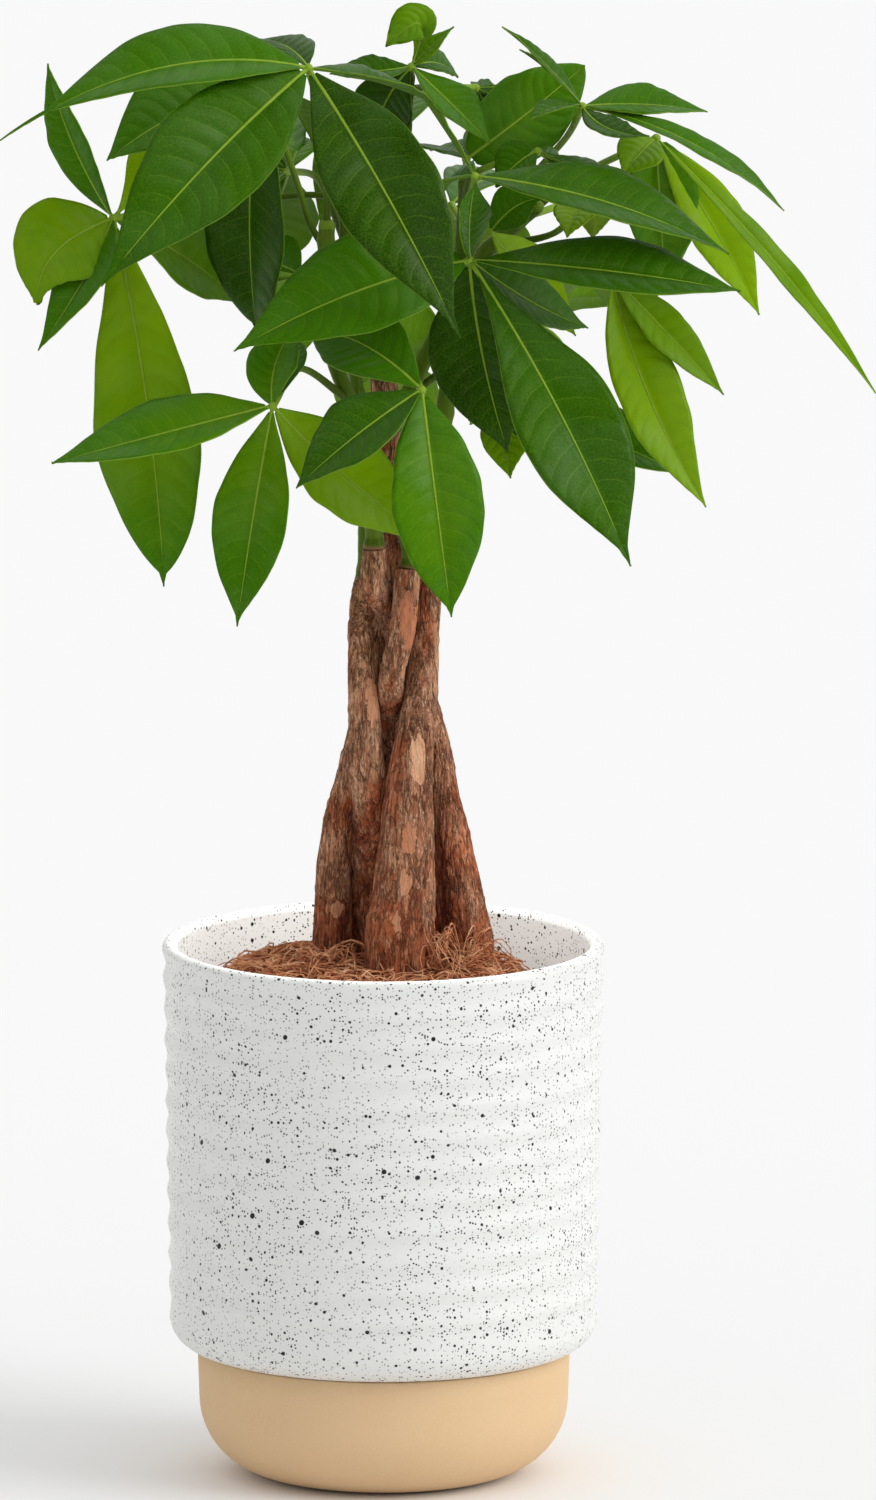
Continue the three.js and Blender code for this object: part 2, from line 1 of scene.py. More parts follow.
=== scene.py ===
# Potted money tree: five braided trunks with palmate leaves, in a ribbed two-tone pot.
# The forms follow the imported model. Lengths are in millimetres until a piece is made, and then in metres.
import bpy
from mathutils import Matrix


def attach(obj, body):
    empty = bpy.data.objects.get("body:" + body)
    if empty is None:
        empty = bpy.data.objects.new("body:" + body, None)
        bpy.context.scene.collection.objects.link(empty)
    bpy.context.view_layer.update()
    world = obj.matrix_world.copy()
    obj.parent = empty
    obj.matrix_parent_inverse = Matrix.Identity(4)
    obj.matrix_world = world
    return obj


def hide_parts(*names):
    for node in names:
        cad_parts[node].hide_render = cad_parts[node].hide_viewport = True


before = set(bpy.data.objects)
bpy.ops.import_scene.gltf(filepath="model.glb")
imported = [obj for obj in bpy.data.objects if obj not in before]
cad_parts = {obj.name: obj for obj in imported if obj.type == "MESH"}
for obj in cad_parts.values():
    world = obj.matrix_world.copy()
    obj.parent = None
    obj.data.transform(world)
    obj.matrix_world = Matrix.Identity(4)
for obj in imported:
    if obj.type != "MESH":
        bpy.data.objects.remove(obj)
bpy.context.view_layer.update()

import math
import random

import bmesh
import bpy
from mathutils import Matrix, Vector, noise

MM = 0.001

# The pot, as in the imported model
POT_HEIGHT = 183
POT_RADIUS = 75
WALL = 5
BODY_BOTTOM = 43
BODY_BOTTOM_RADIUS = 72.8
BODY_CORNER = 11
RIBS = 11
FIRST_RIB = 65
RIB_PITCH = 10.55
RIB_DEPTH = 1.1
RIB_EDGE = 0.16      # how far the crest of a rib is rounded, as a share of half the pitch
RIB_HOLLOW = 1.7     # how quickly the side falls away from a crest: 1 is a plain slope
BASE_RADIUS = 63.3
FOOT_RADIUS = 39
FOOT_CORNER = 26
FLOOR = 6
GAP = 0.3            # between pieces that stand on each other

# The root ball
SOIL_TOP = 173
SOIL_MOUND = 2.5
SOIL_RADIUS = 54
SOIL_ACROSS = -3

TRUNK_FOOT = 143
SHOOT_NECK = 7       # how far a shoot goes on straight from its trunk
BLADE = 0.45         # thickness of a leaflet
STALK_RADIUS = 1.12
HUB_RADIUS = 1.6

SAME_PLACE = 1e-4    # corners nearer than this become one

# Places in the plant are (across, up, back). They are x, the height that a viewer sees who looks down by this
# angle, and y.
LOOK_DOWN = math.radians(11)
ACROSS = Vector((1, 0, 0))
SEEN_UP = Vector((0, math.sin(LOOK_DOWN), math.cos(LOOK_DOWN)))
SEEN_BACK = Vector((0, math.cos(LOOK_DOWN), -math.sin(LOOK_DOWN)))

# Each trunk as (x, y, z, radius) from its foot to its cut top.
TRUNKS = {
    "trunk_1": [(4.5, -9, TRUNK_FOOT, 12), (5.5, -9, 184, 11.9), (7, -8.5, 204, 10.6),
                (8.4, -8, 232, 8.4), (10, -7.2, 250, 7), (13.2, -1.2, 272, 5.5), (14.4, 2, 292, 4.9),
                (15.4, 5, 312, 4.6)],
    "trunk_2": [(-4, 22, TRUNK_FOOT, 9.4), (-4.4, 21.5, 180, 9), (-4.4, 17.5, 200, 8.4),
                (-3.8, 6.2, 222, 6.7), (-5.2, -2.5, 240, 6.1), (-6.6, -4, 262, 5.2),
                (-7.6, -1.5, 284, 4.4), (-7.6, 4, 294, 4.2), (-6.3, 9.5, 304, 4.2)],
    "trunk_3": [(29, 7, TRUNK_FOOT, 9.8), (28.5, 6.5, 180, 9), (25.6, 6, 202, 7.2),
                (20.9, 6, 230, 5.6), (15.6, 8.5, 256, 5), (8.4, 9.4, 276, 4.9),
                (2.8, 4.4, 293, 4.6), (-2.8, -4, 306, 4.5), (-3.2, -5, 319, 4.2)],
    "trunk_4": [(24, 29, TRUNK_FOOT, 8.4), (20, 27, 184, 8), (14, 20, 216, 6.6),
                (4.6, 10.5, 242, 5.6), (2.2, 5, 259, 4.6), (3, -6.2, 276, 4.4), (6.4, -7, 292, 4.6),
                (8.2, -5, 312, 4.4)],
    "trunk_5": [(-18, 11, TRUNK_FOOT, 7.4), (-17.5, 11, 184, 6.6), (-16.3, 9, 214, 5.7),
                (-11.8, 8.4, 236, 5), (-7, 10, 256, 4.8), (-3, 14, 280, 4.7), (2, 15, 305, 4.6),
                (2, 14, 340, 4.4), (0, 13, 374, 4.2)],
}

# Places where the bark has peeled, as (across, up, half width, half height, paleness) on a trunk's front.
PEELED = {
    "trunk_1": [(11.7, 240.7, 3.4, 10, 1), (8.8, 213.8, 3, 7.5, 0.35), (7.1, 199.1, 2.8, 5.5, 0.75),
                (4.1, 186.9, 2.8, 7, 0.45)],
    "trunk_2": [(-3.6, 260, 2.9, 11, 0.5)],
    "trunk_4": [(8.6, 286, 4.6, 13, 0.15)],
    "trunk_5": [(-15.7, 190.3, 3.4, 3.6, 0.6)],
}

# Each shoot as its trunk and (across, up, back, radius) from the trunk's top to its own tip.
SHOOTS = {
    "shoot_1": ("trunk_3", [(-6.5, 337, -9, 2.8), (-9.5, 356, -13, 2.7), (-16.5, 375, -17, 2.6),
                            (-20, 396, -18, 2.5), (-19, 420, -16, 2.8)]),
    "shoot_2": ("trunk_4", [(1, 333, 0, 2.5), (-8, 362, 2, 2.3), (-12, 392, 2, 2), (-13, 428, 0, 2)]),
    "shoot_3": ("trunk_5", [(3, 392, 14, 3), (6, 430, 15, 2.4), (8, 460, 12, 2), (9, 471, 7, 1.7)]),
    "shoot_4": ("trunk_1", [(19, 345, 2, 3.2), (23, 376, 0, 2.9), (26, 405, 0, 2.6), (28, 436, 0, 2.4)]),
    "shoot_5": ("trunk_2", [(-4.4, 330, 22, 3.2), (4, 355, 38, 3), (18, 385, 48, 2.8), (34, 412, 46, 2.6),
                            (52, 428, 36, 2.3)]),
}

# Each leaf as its shoot, the share of the shoot's length where its stalk leaves, the places that the stalk
# runs through, its hub, and its leaflets.
# A leaflet is (tip across, up, back, bow across, up, back, width, tilt, turn, tone). The bow is how far the
# middle of its rib stands off the straight line. Its face looks at the viewer when tilt and turn are 0. The
# tilt turns it up to the sky and the turn sideways, in degrees. The tone runs from a deep green, 0, to a
# pale yellow green, 1. It is partly the leaflet's own colour by its age and partly painted light: it is set
# high on leaflets lit from behind, as a painted glow, and low on leaflets turned away from the light, as
# painted shade.
# Where its outline isn't the usual one, three more values say where along the rib it is widest, how slim its
# ends are, and how long its drip is: see fullness. A last one is how much the tone rises from hub to tip. It
# is only ever set to fall, which paints shade over the leaflet towards its tip.
LEAVES = {
    # front, high on the left
    "leaf_01": ("shoot_1", 0.985, [(-19, 434, -18), (-21, 456, -34)], (-25, 472, -50), [
        (-129, 447, -60, 0, 11.5, -7, 32, 49, 0, 0.42, 0.46, 1.15, 0.16),
        (-43, 482, -15, 1, 3, 0, 18, 74, 0, 0.16),
        (-94, 398, -95, 0, 3.5, -8, 40, 16, 0, 0.3, 0.48, 1.1, 0.06),
        (26, 381, -85, 1, 2, -10, 38, 15, 0, 0.14, 0.5, 1.1, 0.07),
        (16.5, 461.5, -22, 2, 1.5, 0, 20, 70, 0, 0.25, 0.55, 1, 0.02),
    ]),
    # behind the first
    "leaf_02": ("shoot_2", 0.86, [(-24, 420, -2), (-29, 435, 2)], (-41, 469, 4), [
        (-64, 471, 22, 0, 3, 1, 22, 68, 0, 0.2),
        (-93, 442, -22, -1, 3, -3, 33, 38, 0, 0.4),
        (-43, 386, 8, -3, 1, -10, 32, 0, -30, 0.16, 0.6, 0.75, 0.03),
        (-22, 446, 64, 3, 3, 4, 28, 40, 0, 0.2),
        (-40, 458, 80, -1, 2, 4, 26, 66, 0, 0.5),
    ]),
    # far left
    "leaf_03": ("shoot_2", 0.97, [(-20, 431, 6), (-50, 429, 14)], (-91, 423, -10), [
        (-113, 475, -5, -3, 0, -2, 17, 0, -45, 0.42),
        (-116, 393.5, -30, -7.5, 2.2, -4, 34, 12, 0, 0.72, 0.42, 1.4, 0.03),
        (-53, 470, 28, 0.5, 0.5, 3, 31, 20, 0, 0.92, 0.58, 1.2, 0.03),
        (-116, 378, -38, 3, 2, -4, 20, 30, -30, 0.42),
        (-47, 395, 26, 1, 2, 2, 30, 30, 0, 0.6),
        (-74, 299, -30, 3, 0, -14, 37, 0, -18, 0.7, 0.6, 0.8, 0.04, -0.55),
    ]),
    # youngest, on top
    "leaf_04": ("shoot_3", 0.985, [(9.3, 472.8, 3.4)], (9.5, 474, 0), [
        (0.8, 480.5, -8, 7.1, 11, 0, 14, 20, 0, 0.6, 0.66, 0.8, 0.03),
        (23.8, 487.5, 0, -1.2, -0.5, 0, 7, 40, 0, 0.6),
        (-18, 471.5, -6, 0, -0.5, -1, 14, 50, 0, 0.3),
        (25, 471, 16, 1, 3, -1, 17, 40, 0, 0.3),
        (36, 448, -14, 1, -0.5, -3, 20, 20, 45, 0.48),
        (-3, 447, 20, -3, 1, 3, 22, 0, 0, 0.15),
    ]),
    # small, behind the top
    "leaf_05": ("shoot_3", 0.9, [(16, 468, 22)], (31, 468, 34), [
        (47, 461, 52, 0, 0, 1, 18, 50, 0, 0.2),
        (40, 447, 50, 1, 1, 2, 22, 20, 20, 0.2),
        (37, 453, 72, -1, 1, 4, 16, 50, 0, 0.3),
        (44, 464, 76, 1, 2, 2, 16, 74, 0, 0.3),
    ]),
    # up to the right
    "leaf_06": ("shoot_4", 0.985, [(28, 437, -2)], (28, 443, -6), [
        (68, 475, 12, 1, 0, 1, 29, 0, 10, 0.5, 0.43, 0.8, 0.02),
        (51, 447, 46, 1, 4, 0, 24, 60, 0, 0.4),
        (16, 447, 34, 0, 2, 0, 22, 60, 0, 0.4),
    ]),
    # small, right of the middle
    "leaf_07": ("shoot_4", 0.95, [(31, 438, -14)], (52, 445, -18), [
        (81, 438, -24, 1, -1.5, -1, 12, 78, 0, 0.35),
        (76, 441, 2, 0, -2.2, 0, 12, 83, 0, 0.4),
        (38, 433, -20, 0, 2, -1, 18, 40, 0, 0.35),
        (62, 429, 0, 1, 2, 1, 16, 40, 20, 0.4),
    ]),
    # long, to the right
    "leaf_08": ("shoot_4", 0.9, [(29, 429, -20)], (31, 436, -40), [
        (116, 410, -48, 2, 4, -10, 33, 58, 0, 0.3),
        (10.5, 468, 2, 0, 1, 1, 9, 0, 68, 0.4),
        (14, 422, -8, -1, 5, -2, 22, 50, 0, 0.4),
    ]),
    # front, right
    "leaf_09": ("shoot_4", 0.62, [(25, 403, -22)], (29, 408, -45), [
        (120, 397.5, -52, 0, 1.5, -10, 28, 46, 0, 0.3, 0.55, 1, 0.04),
        (83, 305, -82, 2.2, 2, -10, 37, 20, 10, 0.27, 0.6, 1.15, 0.05),
        (42, 344, -32, -2, 0, 2, 36, 0, -10, 0.13),
        (31, 434, -50, -1, 0, -2, 20, 30, 45, 0.3),
        (69, 386, -18, 0, -2, 0, 26, 40, 0, 0.3),
        (-50, 377, -72, 0, 4, -6, 38, 26, 0, 0.45, 0.46, 1.1, 0.05),
    ]),
    # small, behind the front right
    "leaf_10": ("shoot_4", 0.74, [(30, 412, -12)], (36, 418, -22), [
        (53, 429, -24, 0, 3, -1, 16, 20, 0, 0.4),
        (65, 384, 8, -1, 1, 5, 22, 20, 10, 0.92),
    ]),
    # high on the right
    "leaf_11": ("shoot_5", 0.985, [(50, 437, 32), (62, 451, 8)], (67, 460, -22), [
        (40, 487, -12, 0, 2, -1, 9, 20, 64, 0.3),
        (46, 480, 6, 0, 2, 0, 8, 20, 60, 0.3),
        (109, 458.4, -18, 0, 1.5, -2, 20, 58, 0, 0.42),
        (134.7, 424.8, -36, 3, 4.8, -9, 11, 62, 0, 0.42, 0.6, 0.85, 0.03),
        (89.3, 449.5, -46, -2.5, -2.5, -2, 11, 50, 0, 0.2),
        (49, 455, -40, 0, 2, -1, 12, 70, 0, 0.3),
    ]),
    # far right
    "leaf_12": ("shoot_5", 0.96, [(65, 438, 40)], (92, 450, -4), [
        (80.5, 437, -18, 0, 1, -1, 17, 30, 0, 0.7),
        (95, 402, 0, 0, 0, 2, 27, 0, 15, 0.5, 0.42, 0.85, 0.04),
        (127, 391, 9, 2, 0, 2, 22, 0, 30, 0.85),
        (166, 364, -20, 2.2, 1.8, -6, 10, 40, 20, 0.68),
        (100, 408, 64, 2, 0, 5, 20, 72, 0, 0.4),
    ]),
    # right, low
    "leaf_13": ("shoot_5", 0.8, [(60, 413, 30)], (77, 404, 6), [
        (109, 326, -8, -3.4, -1.5, -3, 24, 0, 20, 0.8),
        (115, 364, 2, 0, 0.5, -2, 16, 0, 38, 0.7),
        (83, 386, 62, 2, 4, 0, 24, 60, 0, 0.4),
        (60, 397, 50, -1, 2, 0, 22, 50, 0, 0.4),
    ]),
    # small and pale, right
    "leaf_14": ("shoot_5", 0.86, [(57, 419, 40)], (67, 428, 22), [
        (62, 417, 4, 0, 2, 1, 15, 50, 0, 0.9),
        (71, 417, 44, 1, 3, -1, 15, 50, 0, 0.9),
    ]),
    # behind the front right blades
    "leaf_15": ("shoot_5", 0.66, [(33, 380, 34)], (44, 366, 14), [
        (104, 337, 6, 1, -2, -2, 26, 50, 0, 0.4),
        (43, 336, 8, -2, 0, 1, 18, 0, 0, 0.72),
        (55, 343, -12, 1, 0, -1, 22, 20, 10, 0.15),
        (29, 356, 40, -1, 2, 1, 22, 30, 0, 0.4),
    ]),
    # front, low in the middle
    "leaf_16": ("shoot_3", 0.22, [(3, 381, -20), (6, 376, -50)], (13, 364, -75), [
        (-29, 331, -90, -1, 1, -6, 28, 38, -20, 0.25),
        (23, 288, -86, 0, -1, -10, 32, 0, 10, 0.5, 0.5, 0.95, 0.05),
        (-26, 384, -40, -1, 6, 0, 28, 20, 0, 0.4),
    ]),
    # front, low on the left
    "leaf_17": ("shoot_1", 0.55, [(-28, 372, -34)], (-37, 359, -60), [
        (-29, 386, -46, -3, 1, 1, 20, 0, -30, 0.5, 0.5, 0.9, 0.04),
        (-111, 339.5, -72, 0, 0.3, -4, 29, 50, 0, 0.5, 0.49, 1.1, 0.04, -0.15),
        (-49, 285, -72, -0.5, 0, -2, 27, 0, -18, 0.52, 0.53, 1, 0.05, -0.25),
        (16, 314, -48, -2, -1, 0, 30, 20, 0, 0.8),
        (-31, 383, -2, 0, 4, 0, 17, 40, 0, 0.4),
    ]),
    # back, left
    "leaf_18": ("shoot_2", 0.93, [(-22, 437, 35)], (-32, 441, 62), [
        (-79, 434, 100, -1, 4, 7, 30, 50, 0, 0.45),
        (-60, 409, 118, -1, 3, 8, 30, 20, 0, 0.35),
        (-42, 402, 116, -1, 2, 13, 30, 0, 180, 0.4),
        (-24, 452, 100, 0, 4, 0, 16, 60, 0, 0.5),
        (-50, 460, 118, 0, 4, 4, 28, 70, 0, 0.4),
    ]),
    # back, high in the middle
    "leaf_19": ("shoot_3", 0.8, [(7, 441, 34)], (4, 452, 58), [
        (-24, 461, 98, -1, 6, 8, 28, 68, 0, 0.4),
        (-22, 424, 128, -1, 6, 8, 30, 20, 180, 0.45),
        (-5, 424, 132, 0, 6, 10, 26, 10, 180, 0.5),
        (-11, 466, 104, 0, 4, 2, 22, 78, 0, 0.4),
        (6, 464, 132, 1, 8, 1, 28, 80, 0, 0.35),
    ]),
    # back, in the middle
    "leaf_20": ("shoot_5", 0.83, [(29, 420, 62)], (23, 430, 88), [
        (4, 397, 150, 0, 4, 13, 32, 10, 180, 0.45),
        (29, 393, 158, 1, 3, 11, 32, 10, 180, 0.4),
        (50, 396, 138, 0, 3, 9, 28, 30, 180, 0.5),
        (48, 438, 142, 0, 6, 7, 28, 70, 0, 0.4),
    ]),
    # back, right
    "leaf_21": ("shoot_5", 0.9, [(45, 424, 66)], (60, 430, 86), [
        (97, 424, 112, 2, 6, 7, 28, 50, 180, 0.45),
        (84, 434, 138, 1, 4, 5, 24, 65, 0, 0.5),
        (70, 440, 132, 0, 3, 3, 22, 70, 0, 0.35),
    ]),
    # back, right and low
    "leaf_22": ("shoot_5", 0.55, [(33, 383, 60)], (43, 390, 72), [
        (48, 352, 104, 2, 5, 8, 30, 10, 180, 0.5),
        (87, 397, 104, 0, 6, 10, 28, 50, 180, 0.4),
        (35, 358, 112, -1, 2, 8, 30, 0, 180, 0.45),
        (32, 376, 130, -1, 3, 4, 26, 30, 180, 0.55),
    ]),
    # back, left and low
    "leaf_23": ("shoot_2", 0.62, [(-18, 393, 20)], (-28, 405, 42), [
        (-42, 384, 80, -2, 5, 7, 22, 20, 180, 0.5),
        (-28, 379, 92, 0, 3, 9, 28, 0, 180, 0.45),
        (-6, 389, 96, 0, 5, 9, 28, 20, 180, 0.4),
        (-55, 409, 66, -1, 4, 4, 28, 60, 0, 0.4),
    ]),
    # back, low in the middle
    "leaf_24": ("shoot_5", 0.35, [(4, 364, 62)], (1, 376, 84), [
        (-6, 350, 112, -2, 2, 7, 28, 10, 180, 0.55),
        (10, 344, 122, 0, 2, 7, 30, 0, 180, 0.5),
        (22, 384, 112, 0, 4, 7, 28, 20, 180, 0.45),
        (-11, 390, 128, -1, 5, 4, 26, 50, 180, 0.4),
    ]),
}


def place(seen):
    """The point in the part's frame of a place in the plant."""
    across, up, back = seen
    return Vector((across, back, (up - back * math.sin(LOOK_DOWN)) / math.cos(LOOK_DOWN)))


def smooth_path(points, share):
    """The point and the direction at a share of an even Catmull-Rom line through the points."""
    station = min(max(share, 0), 1) * (len(points) - 1)
    before = min(int(station), len(points) - 2)
    t = station - before
    b, c = points[before], points[before + 1]
    a = points[before - 1] if before else 2 * b - c
    d = points[before + 2] if before + 2 < len(points) else 2 * c - b
    slope, square, cube = c - a, 2 * a - 5 * b + 4 * c - d, 3 * b - a - 3 * c + d
    here = 0.5 * (2 * b + t * slope + t * t * square + t ** 3 * cube)
    onward = slope + 2 * t * square + 3 * t * t * cube
    return here, onward.normalized()


def level_at(levels, share):
    """A value between the ones given for each point of a line, in a straight line from one to the next."""
    station = min(max(share, 0), 1) * (len(levels) - 1)
    before = min(int(station), len(levels) - 2)
    return levels[before] + (levels[before + 1] - levels[before]) * (station - before)


def shoot_points(name):
    """The points that a shoot runs through, from its trunk's cut top on."""
    trunk_name, path = SHOOTS[name]
    below, top = [Vector(station[:3]) for station in TRUNKS[trunk_name][-2:]]
    onward = (top - below).normalized()
    return [top + GAP * onward, top + SHOOT_NECK * onward] + [place(station[:3]) for station in path]


def wander(x, y, z):
    """A smooth random value, about -1 to 1, at a place."""
    return noise.noise(Vector((x, y, z)))


# ---------------------------------------------------------------- materials

def ink(red, green, blue):
    """A colour from its three values on a screen, 0 to 255."""
    return tuple((v / 255 / 12.92 if v <= 10 else ((v / 255 + 0.055) / 1.055) ** 2.4)
                 for v in (red, green, blue)) + (1,)


class Wire:
    """The output of a shader node, on which sums are written as on a number."""

    def __init__(self, finish, socket):
        self.finish, self.socket = finish, socket

    def math(self, operation, *others):
        return self.finish.node("Math", {0: self, **dict(enumerate(others, 1))}, operation=operation)

    def __add__(self, other):
        return self.math("ADD", other)

    def __sub__(self, other):
        return self.math("SUBTRACT", other)

    def __rsub__(self, other):
        return self.finish.node("Math", {0: other, 1: self}, operation="SUBTRACT")

    def __mul__(self, other):
        return self.math("MULTIPLY", other)

    __radd__, __rmul__ = __add__, __mul__

    def between(self, low, high, start=0, end=1):
        """Goes softly from start at low to end at high, and stays there beyond. low may be the higher."""
        return self.finish.node("MapRange", {0: self, 1: low, 2: high, 3: start, 4: end},
                                interpolation_type="SMOOTHSTEP")


class Finish:
    """One material of the object."""

    def __init__(self, name, slot, **shader):
        self.slot = slot
        self.material = bpy.data.materials.new(name)
        self.material.use_nodes = True
        self.tree = self.material.node_tree
        self.tree.nodes.clear()
        self.shader = self.tree.nodes.new("ShaderNodeBsdfPrincipled")
        out = self.tree.nodes.new("ShaderNodeOutputMaterial")
        self.tree.links.new(self.shader.outputs[0], out.inputs["Surface"])
        self.set(**shader)

    def set(self, **inputs):
        for name, value in inputs.items():
            self.feed(self.shader.inputs[name.replace("_", " ")], value)

    def feed(self, socket, value):
        if isinstance(value, Wire):
            self.tree.links.new(value.socket, socket)
        else:
            socket.default_value = value

    def node(self, kind, inputs=(), output=0, stops=None, **settings):
        made = self.tree.nodes.new("ShaderNode" + kind)
        for name, value in settings.items():
            setattr(made, name, value)
        if stops:
            ramp = made.color_ramp
            for at, colour in stops[1:-1]:
                ramp.elements.new(at)
            for element, (at, colour) in zip(ramp.elements, stops):
                element.position, element.color = at, colour
        for name, value in dict(inputs).items():
            self.feed(made.inputs[name], value)
        return Wire(self, made.outputs[output])

    def own_place(self):
        return self.node("TexCoord", output="Object")

    def spread(self, stretch=(1, 1, 1), shift=(0, 0, 0)):
        """Object coordinates in millimetres, stretched and shifted."""
        scale = tuple(k / MM for k in stretch)
        return self.node("Mapping", {"Vector": self.own_place(), "Scale": scale, "Location": shift})

    def cloud(self, size, stretch=(1, 1, 1), detail=2.0, rough=0.5, shift=(0, 0, 0), warp=0.0):
        """Soft noise with patches of about size, in millimetres."""
        return self.node("TexNoise", {"Vector": self.spread(stretch, shift), "Scale": 1 / size,
                                      "Detail": detail, "Roughness": rough, "Distortion": warp})

    def seam(self, size, **cloud):
        """0 on the winding lines where a cloud is at its middle, and more away from them."""
        return (self.cloud(size, **cloud) - 0.5).math("ABSOLUTE")

    def drift(self, size, low, high, shift=(0, 0, 0)):
        """A value that drifts between low and high, in patches of about size."""
        return self.cloud(size, shift=shift).between(0.3, 0.7, low, high)

    def grain(self, name):
        """A value that the mesh carries at each of its corners."""
        return self.node("Attribute", attribute_name=name, output="Fac")

    def ramp(self, value, *stops):
        return self.node("ValToRGB", {"Fac": value}, stops=stops)

    def mix(self, mask, a, b):
        """Colour a where the mask is 0 and b where it is 1."""
        return self.node("Mix", {0: mask, 6: a, 7: b}, output=2, data_type="RGBA")

    def bump(self, height, distance, strength):
        return self.node("Bump", {"Height": height, "Distance": distance * MM, "Strength": strength})


def specks(finish, cell, radius, share, shift):
    """Round specks up to that radius: about one in each cell of that size, of which a share is kept."""
    cells = {"Vector": finish.spread(shift=shift), "Scale": 1 / cell}
    near = finish.node("TexVoronoi", cells, output="Distance")
    chance = finish.node("SeparateColor", {0: finish.node("TexVoronoi", cells, output="Color")})
    size = ((chance - (1 - share)) * (radius / cell / share)).math("MAXIMUM", 1e-4)
    return near.between(size, size * 0.8)


def white_glaze():
    """White glaze with dark specks in three sizes, over ripples and a fine orange peel."""
    finish = Finish("white_glaze", "white_glaze", IOR=1.45)
    fine = specks(finish, 0.95, 0.44, 0.75, (3, 5, 7))
    small = specks(finish, 2.2, 0.66, 0.7, (11, 2, 1))
    large = specks(finish, 5.6, 1.1, 0.5, (5, 17, 9))
    thick = finish.cloud(26, detail=1).between(0.35, 0.65)
    clay = finish.mix(finish.cloud(40, detail=2, shift=(9, 1, 4)), ink(232, 233, 230), ink(227, 228, 225))
    dusted = finish.mix(fine * (0.6 + 0.4 * thick), clay, ink(36, 36, 37))
    dotted = finish.mix(small, dusted, ink(20, 20, 21))
    ripple = finish.cloud(9, stretch=(1, 1, 1.6), detail=2)
    orange_peel = finish.cloud(1.1, detail=1)
    finish.set(Base_Color=finish.mix(large, dotted, ink(10, 10, 11)),
               Roughness=finish.drift(14, 0.26, 0.4),
               Normal=finish.bump(ripple + 0.12 * orange_peel, 0.35, 0.5))
    return finish


def tan_clay():
    """Bare clay: fine paler dust and a few small darker pits."""
    finish = Finish("tan_clay", "tan_clay", IOR=1.4)
    dust = finish.cloud(0.7, detail=2)
    clay = finish.mix(finish.cloud(30, detail=3), ink(224, 191, 149), ink(219, 185, 142))
    dusted = finish.mix(dust.between(0.45, 0.75, 0, 0.4), clay, ink(229, 199, 159))
    pit = specks(finish, 2.4, 0.16, 0.4, (2, 8, 5))
    finish.set(Base_Color=finish.mix(pit * 0.35, dusted, ink(190, 150, 108)),
               Roughness=finish.drift(11, 0.62, 0.76),
               Normal=finish.bump(dust + 0.8 * finish.cloud(6), 0.14, 0.5))
    return finish


def coir_crumb():
    """The root ball's surface: dark and pale crumbs with short fibres in them."""
    finish = Finish("coir_crumb", "coir", Roughness=0.95, IOR=1.3, Specular_IOR_Level=0.1)
    lump = finish.cloud(3.2, detail=5, rough=0.7)
    strand = finish.cloud(0.9, stretch=(0.35, 1, 1), detail=4, warp=1.5)
    colour = finish.ramp(0.6 * lump + 0.4 * strand, (0.34, ink(76, 40, 24)), (0.46, ink(142, 82, 54)),
                         (0.56, ink(184, 120, 84)), (0.7, ink(214, 158, 118)))
    finish.set(Base_Color=colour, Normal=finish.bump(lump + 0.6 * strand, 1.6, 0.9))
    return finish


def coir_strand():
    """The loose fibres, paler than the crumb."""
    finish = Finish("coir_strand", "coir", Roughness=0.8, IOR=1.35, Specular_IOR_Level=0.2)
    tint = finish.cloud(6, detail=2, shift=(4, 4, 4))
    fleck = finish.cloud(0.8, detail=2)
    colour = finish.ramp(0.7 * tint + 0.3 * fleck, (0.36, ink(146, 84, 54)), (0.5, ink(206, 140, 100)),
                         (0.64, ink(230, 182, 142)))
    finish.set(Base_Color=colour, Normal=finish.bump(fleck, 0.1, 0.6))
    return finish


